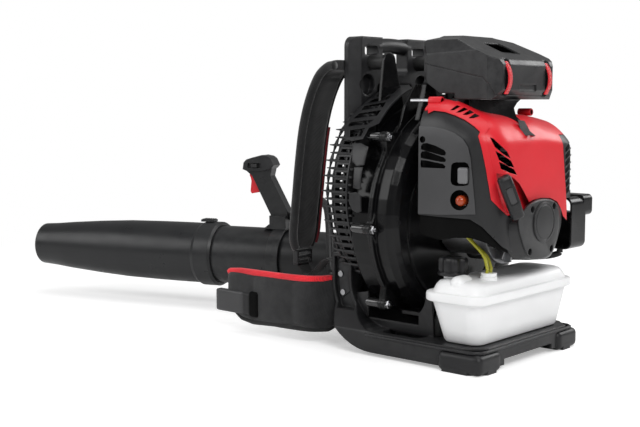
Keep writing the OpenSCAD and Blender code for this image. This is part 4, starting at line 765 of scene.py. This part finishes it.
side_vents = [[(423, 143.5), (427, 143), (436, 146), (444, 150), (446, 153), (445, 155.5), (442, 155.5),
    (421, 149.5), (421, 146)], [(422, 151.5), (426, 151), (444, 157.5), (446, 160), (445, 162), (441, 162),
    (421, 158), (420.5, 154)], [(421, 160), (426, 160.5), (443, 164), (445.5, 166.5), (444.5, 168.5), (421, 167.5),
    (420.5, 164)]]
choke_hole = [(451.5, 165), (453, 163.2), (456, 162.3), (465, 162.3), (468, 164), (469.3, 168), (469.3, 182),
    (468, 185), (464, 186), (456, 186), (452, 184.5), (450.6, 181), (450.8, 172)]
primer_hole = oval(459.5, 200.2, 9.4, 10.2)
screw_hole = oval(422.5, 139.5, 2.9, 3.4, 12)
panel_edge = [(405, 126), (420, 126), (432, 126.6), (444, 129), (455, 133.2), (463, 139), (468, 147), (470.5, 158),
    (472.5, 178), (474.5, 200), (475.5, 214.5), (440, 215), (422, 214), (405, 213)]
cover_edge = [(395, 90), (426, 110), (434, 108.5), (445, 110), (455, 113.5), (466, 118), (476, 125), (483, 131),
    (486, 140), (491, 165), (494, 188), (496, 200), (503, 210), (508.5, 217), (516, 222), (519, 236), (515, 254),
    (508, 250.5), (502, 247), (492, 237), (482, 227), (470, 219.5), (440, 217), (421, 215), (395, 213)]
side_holes = side_vents + [choke_hole, primer_hole, screw_hole]
left_side = cut(cover_shell(0, COVER_WALL, GREY), prisms([cover_edge]), "INTERSECT")
cut(left_side, prisms(side_holes))
finish(left_side, "left_cover", replaced=["side_cover"])
panel = cut(cover_shell(-1.6, 1.7, PANEL), prisms([panel_edge]), "INTERSECT")
cut(panel, prisms(side_holes))
finish(panel, "left_panel")
# dead-black shell seen below the covers' lower edge: the black lower housing, with painted shade where the covers
# curve in underneath
skirt_edge = [(405, 205), (500, 205), (516, 240), (514, 258), (506, 252), (498, 250), (486, 243), (470, 238),
    (455, 238), (440, 240), (425, 236), (405, 226)]
skirt = knob_hole(cut(cover_shell(3.4, COVER_WALL, DEAD_BLACK), prisms([skirt_edge]), "INTERSECT"), PRIMER_AT, 10)
finish(skirt, "lower_cowl_and_shade")

band_edge = [(428, 113.6), (434, 110.6), (445, 112), (455, 115.5), (465, 120), (475, 127), (480, 132), (478, 136),
    (482, 150), (486, 170), (489, 188), (491, 200), (500, 209), (506.8, 215.2), (507, 213), (499, 196),
    (495.5, 180), (493, 168), (490, 152), (487, 140), (485.5, 134), (490, 127.5), (486, 121), (478, 114.5),
    (471, 109), (462, 104), (452, 100.4), (443, 98.3), (428, 97)]
short_vents = [[(450, 110.2), (454, 110.2), (460.5, 106.3), (457, 105.3)],
    [(456, 112.5), (460, 112.5), (468, 109.3), (464, 107.5)],
    [(462.5, 114.8), (467, 115), (474, 112.5), (470, 110)],
    [(468.5, 118.2), (473.5, 118.2), (480, 116), (475, 113.5)]]
long_vents = [[(490, 137.5), (493, 138.5), (499, 144), (507, 151.5), (510.5, 158.5), (503, 154), (495, 147)],
    [(495.5, 151), (501, 154), (511, 161), (514, 167.5), (508, 166), (499, 160)],
    [(499, 162), (504, 164), (514, 169.5), (517, 175), (509, 172.5), (501, 169)]]
grip_bay = [(496.5, 173.5), (508, 174.5), (514, 178.5), (519.5, 184), (524, 192), (529.5, 203.5), (523, 208),
    (514, 215), (507, 213), (501, 200), (497, 186)]
below_red = [(480, 196), (491, 200), (500, 209), (507, 216), (513, 214), (522, 208), (527, 203.5), (533, 200),
    (541, 198), (550, 198), (557, 201.5), (561, 209), (563, 216), (575, 230), (575, 300), (480, 300)]
band = cut(cover_shell(-1.8, COVER_WALL, RED), prisms([band_edge]), "INTERSECT")
cut(band, prisms(short_vents))
finish(band, "cover_band")
red = cover_shell(0, COVER_WALL, RED)
beside_red = [(u - 2 * (u > 440), v + 1.5) for u, v in cover_edge[:13]] + [(500, 216), (470, 300), (380, 300),
    (380, 96)]
cut(red, prisms([beside_red]))
for outlines in (short_vents + long_vents, [grip_bay], [below_red]):
    cut(red, prisms(outlines))
cut(red, brick((-200, -200, 0), (300, 300, 197)))
cut(red, extruded([(75, 347), (300, 347), (300, 100), (98, 100), (94, 230)], 0, 96, 300))
cut(red, extruded([(90, 347), (300, 347), (300, 100), (90, 100)], 0, 0, 97))
cut(red, brick((18, -38, 340), (108, 58, 420)))
finish(red, "rear_cover", replaced=["red_cover"])
bay = cut(cover_shell(11, 2, RED), prisms([[(u * 1.12 - 61, v * 1.08 - 15.5) for u, v in grip_bay]], far=1.72),
    "INTERSECT")
finish(bay, "grip_bay")

# right hand cover with slanted slots round its corner
right = cut(cover_shell(0, COVER_WALL, GREY), brick((COVER_FRONT, 60, 247), (300, 300, 346.6)), "INTERSECT")
cut(right, extruded([(97.4, 100), (93.4, 230), (74.4, 347), (74.4, 400), (0, 400), (0, 100)], 0, 96, 300))
cut(right, brick((0, 0, 100), (96, 90.6, 400)))
slots = [[(565.2, v + 4.2), (568, v), (580, v - 9), (580, v - 3.6), (571, v + 2.8), (565.4, v + 8.9)]
    for v in range(144, 187, 7)]
cut(right, prisms(slots, far=1.83))
for z in range(262, 350, 14):
    cut(right, brick((44, 120, z), (112, 140, z + 7)))
finish(right, "right_cover", replaced=["louvre_cover"])
# dead-black sheets inside the covers, behind the slots and holes: painted shade
painted_shade_lining = cut(cover_shell(1.2, 1.5, DEAD_BLACK), brick((96, 77, 250), (300, 300, 344)), "INTERSECT")
finish(painted_shade_lining, "right_lining")
inner_edge = [(395, 120), (470, 122), (482, 140), (488, 200), (480, 214), (395, 213)]
painted_shade_lining = cut(cover_shell(9, 1.5, DEAD_BLACK), prisms([inner_edge]), "INTERSECT")
knob_hole(painted_shade_lining, PRIMER_AT, 10)
knob_hole(painted_shade_lining, CHOKE_AT, 5)
finish(painted_shade_lining, "left_lining")

# choke knob in its recess
knob = rounded((92.5, -131, 279), (109.5, -119, 303), 3.4, 14, (KNOB,))
cut(knob, extruded(oval(*CHOKE_AT, 3, 3), 1, -120, -104), "UNION")
finish(knob, "choke_slide", 50, body_of("choke_knob"), ["choke_knob"])

# saddle between the covers and the air filter
saddle = prisms([[(469, 96), (524, 96), (517, 103), (514, 108), (516, 116), (524, 124), (530, 131), (535.5, 135.6),
    (522, 136.2), (508, 134), (499, 131), (492, 124), (485, 118.6), (477, 114), (469, 108.5)]], 1.662, 1.75)
cut(saddle, brick((-300, -300, 401.8), (300, 300, 500)))
saddle.data.materials.append(HOUSE)
finish(saddle, "saddle", 30)
trim = prisms([[(517.5, 119.5), (524.5, 121), (530, 131), (535, 135.4), (523, 135.6), (520.5, 130)]], 1.650, 1.656)
trim.data.materials.append(PANEL)
finish(trim, "saddle_trim", 30)


def turned_x(y, z, profile, n):
    """Solid of revolution about an axis along x, from (x, radius) pairs in millimetres."""
    return loft([[mm((x, a, b)) for a, b in oval(y, z, r, r, n)] for x, r in profile])


# bosses on the front edge, and the bright bolt of the left one
for side, u, v, y in (("left", 437, 100.5, -100), ("right", 526, 112, 72)):
    p = on_plane(u, v, 1, y)
    profile = [(p.x + x, r) for x, r in ((-13, 5.2), (-12.4, 6), (9, 6), (10, 5.4), (10, 3.6), (6, 3.4))]
    boss = sweep([mm((x, y, p.z)) for x, r in profile], UP, lambda t: ring(profile[round(t * 5)][1] / 1000, 24))
    finish(loose(*boss, (RED,)), "boss_" + side, 40)
    if side == "left":
        bolt = sweep([mm((x, y, p.z)) for x in (p.x - 48, p.x - 12)], UP, lambda t: ring(0.0026))
        finish(loose(*bolt, (STEEL,)), "boss_bolt", 40)

# ---- recoil starter ----
START_BASE = [(507, 222), (513, 219), (521, 212), (526, 205), (533, 200.3), (541, 198.3), (550, 198.3), (557, 202),
    (561, 209), (562, 216), (561, 226), (558, 238), (554, 250), (550, 257), (545, 259.4), (525, 260.5),
    (513, 259.5), (509, 256), (506, 246), (505.5, 234)]
START_FACE = [(517.5, 220), (524, 210), (529, 204.5), (535, 201), (543, 199), (551, 199.6), (557, 203.5),
    (559, 213), (559, 225), (556.5, 240), (553, 250), (549, 256), (543, 258.4), (532, 259.4), (527, 256),
    (523, 246), (519, 232)]


def even(outline, n):
    """Middle of an outline and its radii at even angles, smoothed a little."""
    mid = sum((Vector(p) for p in outline), Vector((0, 0))) / len(outline)
    found = []
    for way in (Vector(p) for p in ring(1, n)):
        best = 0.0
        for a, b in zip(outline, outline[1:] + outline[:1]):
            p, q = Vector(a) - mid, Vector(b) - mid
            e = q - p
            det = way.x * -e.y + e.x * way.y
            if abs(det) < 1e-9:
                continue
            t = (p.x * -e.y + e.x * p.y) / det
            s = (way.x * p.y - way.y * p.x) / det
            if 0 <= s <= 1 and t > best:
                best = t
        found.append(best)
    return mid, [(found[i - 1] + 2 * found[i] + found[(i + 1) % n]) / 4 for i in range(n)]


def photo_level(outline, x, grow, n=72):
    """Ring on the plane at x, seen in the photograph as the outline, then grown by millimetres."""
    mid, radii = even(outline, n)
    c = on_plane(mid.x, mid.y, 0, x)
    out = []
    for r, (a, b) in zip(radii, ring(1, n)):
        d = on_plane(mid.x + r * a, mid.y + r * b, 0, x) - c
        out.append((c + d * (1 + grow / d.length)) / 1000)
    return out


levels = [photo_level(START_BASE, 118, -6), photo_level(START_BASE, 140, -1.5), photo_level(START_BASE, 147, -0.5),
    photo_level(START_FACE, 159.5, 0.6), photo_level(START_FACE, 161.2, -0.4), photo_level(START_FACE, 162, -2.2)]
starter = loose(*loft(levels), (GREY,))
SCREW_HOLE_R = 5.4
screws = [on_plane(u, v, 0, 162) for u, v in ((532.8, 209.5), (554.3, 206), (530, 252), (551.5, 248.5))]
for p in screws:
    cut(starter, extruded(oval(p.y, p.z, SCREW_HOLE_R, SCREW_HOLE_R), 0, 152, 170))
finish(starter, "starter_cover", 25, replaced=["starter_housing"])
mid = on_plane(544.5, 222, 0, 163)
disc = [(158, 31), (163.4, 31), (164.2, 30.2), (164.2, 27.6), (163.6, 27), (163.6, 26), (164.2, 25.4), (164.6, 12),
    (164.8, 2)]
finish(loose(*turned_x(mid.y, mid.z, disc, 72), (GREY,)), "starter_disc", 30)

# starter grip: short moulded handle with a recessed panel, along the CAD grip
top, low = on_plane(503.5, 177, 0, 163), on_plane(518.6, 218.5, 0, 171)
grip_way = (low - top).normalized()
PULL = Vector((0.66, -0.72, 0.2))  # the way the rope leaves
grip_out = (PULL - grip_way * grip_way.dot(PULL)).normalized()
grip_side = grip_way.cross(grip_out)


def grip_loft(sizes, material):
    """Rounded levels along the grip: way along, half width, low and high face."""
    rows = []
    for way, half, below, above in sizes:
        middle = top + grip_way * way + grip_out * (above + below) / 2
        outline = pad_outline(2 * half, above - below, 40, 0.6)
        rows.append([mm(middle + grip_side * a + grip_out * b) for a, b in outline])
    return loose(*loft(rows), (material,))


span = (low - top).length
handle = grip_loft([(-0.5, 6, -5, 4), (0.5, 8.5, -7, 6), (3, 10, -8, 7.5), (span * 0.3, 10.6, -8, 8.4),
    (span * 0.6, 10.4, -8, 8.6), (span - 4, 9.6, -7.5, 7), (span - 1, 8, -6, 5), (span, 5, -4, 3)], BLACK)
cut(handle, grip_loft([(span * 0.22, 4, 6.6, 12), (span * 0.24, 6.4, 6.6, 12), (span * 0.62, 6.4, 6.8, 12),
    (span * 0.64, 4, 6.8, 12)], BLACK))
finish(handle, "grip_handle", 40, body_of("starter_grip"), ["starter_grip"])
inlay = grip_loft([(span * 0.25, 3, 5, 7.3), (span * 0.27, 5.2, 5, 7.6), (span * 0.59, 5.2, 5, 7.6),
    (span * 0.61, 3, 5, 7.3)], PANEL)
finish(inlay, "grip_inlay", 40, body_of("starter_grip"))


# ---- fuel tank ----
def tank_level(x0, x1, half, z, r, n=24):
    """Rounded rectangle, wide across the frame."""
    out = []
    corners = ((x1 - r, half - r), (x0 + r, half - r), (x0 + r, r - half), (x1 - r, r - half))
    for turn, (cx, cy) in enumerate(corners):
        for i in range(n):
            a = math.pi / 2 * (turn + i / (n - 1))
            out.append(mm((cx + r * math.cos(a), cy + r * math.sin(a), z)))
    return out


TANK_LEVELS = [(66, 119, 112, 38.2, 12), (60, 125, 119, 39.4, 18), (58, 127, 122, 42.5, 20), (54, 130, 127, 60, 22),
    (49, 133.5, 133, 84, 23), (45.5, 135.4, 136.2, 99.6, 23), (45, 135.8, 136.6, 102, 23),
    (38.5, 140.6, 140.8, 102, 24), (36.6, 142.4, 142.4, 103.2, 25), (36.1, 142.9, 142.9, 105, 25),
    (36.1, 142.9, 142.9, 113, 25), (36.8, 142.2, 142.2, 115, 25), (38.6, 140.6, 140.6, 116, 24),
    (45, 136, 136.6, 116.2, 23), (46, 135.2, 135.6, 119, 23), (48.5, 132.8, 131.6, 126, 22),
    (52, 129, 126.5, 131, 20), (58, 124, 120, 133.3, 17), (68, 114, 108, 134, 12)]
tank = loose(*loft([tank_level(*level) for level in TANK_LEVELS]), (TANK,))
NECK = (66, -98)
for x, y, r, low_z, high_z in ((*NECK, 14, 124, 148), (*GROMMET, 13, 124, 138)):
    rows = [(r, low_z), (r, high_z - 1), (r - 1, high_z), (r - 2.5, high_z), (r - 2.6, high_z - 8)]
    levels = [[mm((a, b, z)) for a, b in oval(x, y, q, q, 48)] for q, z in rows]
    cut(tank, loose(*loft(levels), (TANK,)), "UNION")
# moulded swelling beside the neck
cut(tank, rounded((78, -132, 112), (104, -92, 141), 12, 10, (TANK,)), "UNION")
finish(tank, "tank_shell", 30, replaced=["fuel_tank"])

# lobed fuel cap: radius, height and depth of the lobes
CAP_LEVELS = [(18, 137.6, 0), (22.4, 138, 0), (23.4, 140, 0), (23, 143, 0), (20.4, 144, 0.9), (20.8, 146, 1.9),
    (20.8, 161, 2.1), (19.4, 164, 1.7), (16, 165.6, 0.6), (12, 166, 0), (11, 164.6, 0), (4, 164.6, 0)]
LOBES, CAP_POINTS = 8, 160


def cap_level(r, z, lobe):
    out = []
    for j in range(CAP_POINTS):
        a = 2 * math.pi * j / CAP_POINTS
        far = r + lobe * math.cos(LOBES * a)
        out.append(mm((NECK[0] + far * math.cos(a), NECK[1] + far * math.sin(a), z)))
    return out


cap = loose(*loft([cap_level(*level) for level in CAP_LEVELS]), (BLACK,))
finish(cap, "fuel_cap_lobed", 40, body_of("fuel_cap"), ["fuel_cap"])
SCREW_HEAD = [(152.5, 4.6), (155.6, 4.6), (156.4, 3.8), (156.4, 2.0), (154.4, 1.9)]
for i, p in enumerate(screws):
    head = loose(*turned_x(p.y, p.z, SCREW_HEAD, 24), (DARK,))
    finish(head, "starter_screw_%d" % i, 30)


# belt buckle block, its lip and its clip
def pad_box(name, low, high, r, material):
    return finish(rounded(low, high, r, 12, (material,)), name, 50)


pad_box("buckle_block", (-402, -150, 33), (-334, -137, 72), 4, PANEL)
pad_box("buckle_lip", (-337, -149, 34), (-319, -139, 71), 3, BLACK)
pad_box("buckle_clip", (-320, -151, 31), (-300, -140, 75), 4.5, DEAD_BLACK)

# ---- air filter latches: curved ribbed strips ----
for side, y in (("left", -52), ("right", 64)):
    route = curve([(124, y, 410.5), (130.5, y, 423), (131.6, y, 436), (128.5, y, 448), (122.5, y, 457)], 24)
    last = len(route) - 1

    def strip(t):
        rib = 0.0007 * (round(t * last) % 4 < 2) * (0.08 < t < 0.92)
        return [(a, b + rib * (j > 10)) for j, (a, b) in enumerate(pad_outline(0.0106, 0.0042, 20, 0.3, 0.4))]

    # dead-black strip just behind each latch: painted shade in the gap under it
    behind = [(0.0074, -0.0016), (0.0074, 0.0012), (-0.0074, 0.0012), (-0.0074, -0.0016)]
    latch = loose(*sweep(route, Y_WAY, strip), (RED,))
    shade_strip = loose(*sweep([p - 0.0016 * X_WAY for p in route], Y_WAY, lambda t: behind), (DEAD_BLACK,))
    finish(shade_strip, "latch_shade_strip_" + side, 40, body_of("filter_cover"))
    finish(latch, "latch_strip_" + side, 40, body_of("latch_" + side), ["latch_" + side])

# ---- intake guard: long blades, bead rod, side plates and ladder arch ----
GUARD_R, GUARD_Y, GUARD_Z, PITCH = 168, 8, 252, 12
BLADE_HALF, TIP_HALF = 1.7, 0.7  # half thickness of a blade, and at its tip
RIGHT_LOW = 182  # the outlet elbow takes the blades' place below this on the right
blades, parts = [], []
for i in range(-11, 13):
    z = GUARD_Z + (i + 0.5) * PITCH
    half = math.sqrt(GUARD_R ** 2 - (z - GUARD_Z) ** 2)
    tip = -151 + (i % 2) * 6
    shape = [(tip, half - 8), (tip + 16, half - 1.5), (-118, half + 1.6), (-84, half + 1.6), (-84, half - 4),
        (-112, half - 6), (tip + 14, half - 11)]
    for side in (-1, 1):
        if side > 0 and z < RIGHT_LOW or half < 60:
            continue
        parts += prism_faces(len(shape), len(blades))
        for s in (-1, 1):
            blades += [mm((x, GUARD_Y + side * y, z + s * (BLADE_HALF if k else TIP_HALF)))
                for k, (x, y) in enumerate(shape)]
finish(loose(blades, parts, (GUARD,)), "guard_blades", 30)


def hoop(name, x, r, thick, a0=-44, a1=66, steps=60):
    """Beaded rod round the guard, from angle a0 to a1 above the left side."""
    path = []
    for i in range(steps + 1):
        a = math.radians(a0 + (a1 - a0) * i / steps)
        path.append(mm((x, GUARD_Y - r * math.cos(a), GUARD_Z + r * math.sin(a))))

    def beads(t):
        return ring(thick / 1000 * (1 + 0.35 * math.cos(2 * math.pi * t * steps / 5)), 10)

    finish(loose(*sweep(path, X_WAY, beads), (GUARD,)), name, 50)


hoop("guard_bead_rod", -137, GUARD_R - 6, 2.2)
hoop("guard_inner_rod", -124, GUARD_R - 3, 1.8)


def sleeve(x0, x1, material, outlines, gaps=(), r=171.5, wall=3):
    """Part of a sleeve round the guard, inside the photograph's outlines."""
    def tube(radius, low, high):
        return extruded(oval(GUARD_Y, GUARD_Z, radius, radius, 160), 0, low, high)

    o = cut(tube(r + wall, x0, x1), tube(r, x0 - 1, x1 + 1))
    o.data.materials.append(material)
    cut(o, prisms(outlines, 1.3, 1.95), "INTERSECT")
    if gaps:
        cut(o, prisms(gaps, 1.3, 1.95))
    return o


plates = [[(352, 143), (361, 143), (366, 146), (372.5, 148), (371, 158), (366, 165), (356, 166), (352, 160)],
    [(354, 167), (363, 167), (361, 180), (361, 190), (353, 188)],
    [(349, 193), (356, 192), (361, 196), (363, 200), (363, 211), (357, 213), (352, 210), (349, 203)]]
finish(sleeve(-124, -60, BLACK, plates), "guard_plates", 30)
arch = [[(344, 126), (350, 117.5), (357, 110), (368, 100), (378, 92), (392, 85.5), (403, 80), (408, 83), (413, 90),
    (405, 95), (396, 104), (387, 116), (379, 123.5), (369, 128), (363, 139), (352, 141), (345, 139)]]
rungs = [[(380, 93.4), (398, 89), (393, 93.5), (376, 96.6)], [(372, 99.6), (391, 95.6), (388, 99.4), (368, 103)],
    [(364, 106), (386, 102), (383, 107), (361.4, 110.3)], [(359.4, 113.5), (381, 110), (377, 115.6), (353, 118.6)],
    [(350, 122), (374, 119.6), (367, 124.6), (348, 126.4)], [(350, 130), (365, 128), (361, 136), (350, 137)]]
finish(sleeve(-135, -58, GUARD, arch, rungs), "guard_arch", 30)

# clamping sleeves of the housing screws, at the spots where the CAD screws lie
SCREW_GAP = 0.012  # points nearer than this across the axis belong to one screw
spots = {}
for v in frame["nodes"]["housing_screws"].data.vertices:
    at = Vector((v.co.y, v.co.z))
    key = next((k for k in spots if (Vector(k) - at).length < SCREW_GAP), tuple(at))
    spots.setdefault(key, []).append(v.co * 1000)
for i, found in enumerate(sorted(spots.values(), key=lambda f: (round(f[0].z), round(f[0].y)))):
    low, high = [Vector([pick(p[k] for p in found) for k in range(3)]) for pick in (min, max)]
    y, z = (low.y + high.y) / 2, (low.z + high.z) / 2
    rows = [(low.x + 1.2, 6.2), (low.x + 3, 7.8), (high.x - 7, 7.8), (high.x - 5, 6.6), (high.x - 5, 5)]
    finish(loose(*turned_x(y, z, rows, 32), (GLOSS,)), "screw_sleeve_%d" % i, 40)

# rounded shoes over the rear feet and the ridge round the base
for side, y0, y1 in (("left", -146, -84), ("right", 84, 146)):
    shoe = rounded((70, y0, 0.2), (146.5, y1, 31), 9, 16, (BLACK,))
    finish(shoe, "foot_shoe_" + side, 50)
ridge = curve([(-70, -139.5, 33), (20, -140.5, 33), (118, -140.5, 33), (134, -136, 33),
    (141, -122, 33), (141.4, -60, 33), (141.4, 60, 33), (141, 122, 33), (134, 136, 33), (118, 140.5, 33),
    (20, 140.5, 33), (-70, 139.5, 33)], 6)
finish(loose(*sweep(ridge, UP, lambda t: ring(0.0026, 10)), (BLACK,)), "base_ridge", 60)

# ---- floor and light ----
floor_mesh = bpy.data.meshes.new("floor")
floor_mesh.from_pydata([(-9, -9, 0), (9, -9, 0), (9, 9, 0), (-9, 9, 0)], [], [(0, 1, 2, 3)])
floor = bpy.data.objects.new("floor", floor_mesh)
scene.collection.objects.link(floor)
n = Paint("floor_paint")
n.put({"Base Color": n.ramp(n.noise(3, 2), (0.9, 0.9, 0.9), (0.93, 0.93, 0.93)), "Roughness": 0.8,
       "Specular IOR Level": 0.1})


def blend_shaders(fac, a, b):
    node = n.add("MixShader")
    for socket, end in zip((fac, a, b), node.inputs):
        n.link(socket, end)
    return node.outputs[0]


# near the blower the camera sees the lit floor with a little light of its own, further off plain white
away = n.add("VectorMath", operation="LENGTH")
n.link(n.place, away.inputs[0])
far = n.span(away.outputs["Value"], 0.0, 1.0, 0.75, 1.7)
glow, white = [n.add("Emission", Color=(1, 1, 1, 1), Strength=strength).outputs[0] for strength in (GLOW, 1.0)]
near = n.add("AddShader")
n.link(n.bsdf.outputs[0], near.inputs[0])
n.link(glow, near.inputs[1])
seen = n.add("LightPath").outputs["Is Camera Ray"]
n.link(blend_shaders(seen, n.bsdf.outputs[0], blend_shaders(far, near.outputs[0], white)),
       n.tree.nodes["Material Output"].inputs["Surface"])
floor_mesh.materials.append(n.mat)

world = bpy.data.worlds.new("studio")
scene.world = world
world.use_nodes = True
w = Nodes(world.node_tree)
back = w.tree.nodes["Background"]
back.inputs["Color"].default_value = (1, 1, 1, 1)
rays = w.add("LightPath").outputs
# lights the object at 0.25 and shows white to the camera and through clear things
shown = w.math("MAXIMUM", rays["Is Camera Ray"], rays["Is Transmission Ray"])
w.link(w.span(shown, 0.25, 1.0, 0.0, 1.0), back.inputs["Strength"])


def lamp(name, place, target, size, power_w):
    data = bpy.data.lights.new(name, "AREA")
    data.shape = "RECTANGLE"
    data.size, data.size_y = size
    data.energy = power_w
    o = bpy.data.objects.new(name, data)
    o.location = place
    o.rotation_euler = (Vector(target) - Vector(place)).to_track_quat("-Z", "Y").to_euler()
    scene.collection.objects.link(o)


lamp("key", (1.8, -1.3, 1.9), (-0.1, 0, 0.25), (1.4, 1.1), 39)
lamp("fill", (-1.8, -2.0, 1.4), (-0.3, 0, 0.2), (1.8, 1.4), 22)
lamp("top", (-0.2, 0.3, 2.6), (-0.2, 0, 0.2), (2.4, 2.0), 30)
lamp("rim", (0.9, 1.9, 1.3), (0, 0, 0.25), (1.2, 1.0), 18)
scene.view_settings.view_transform = "Standard"

bpy.context.view_layer.update()
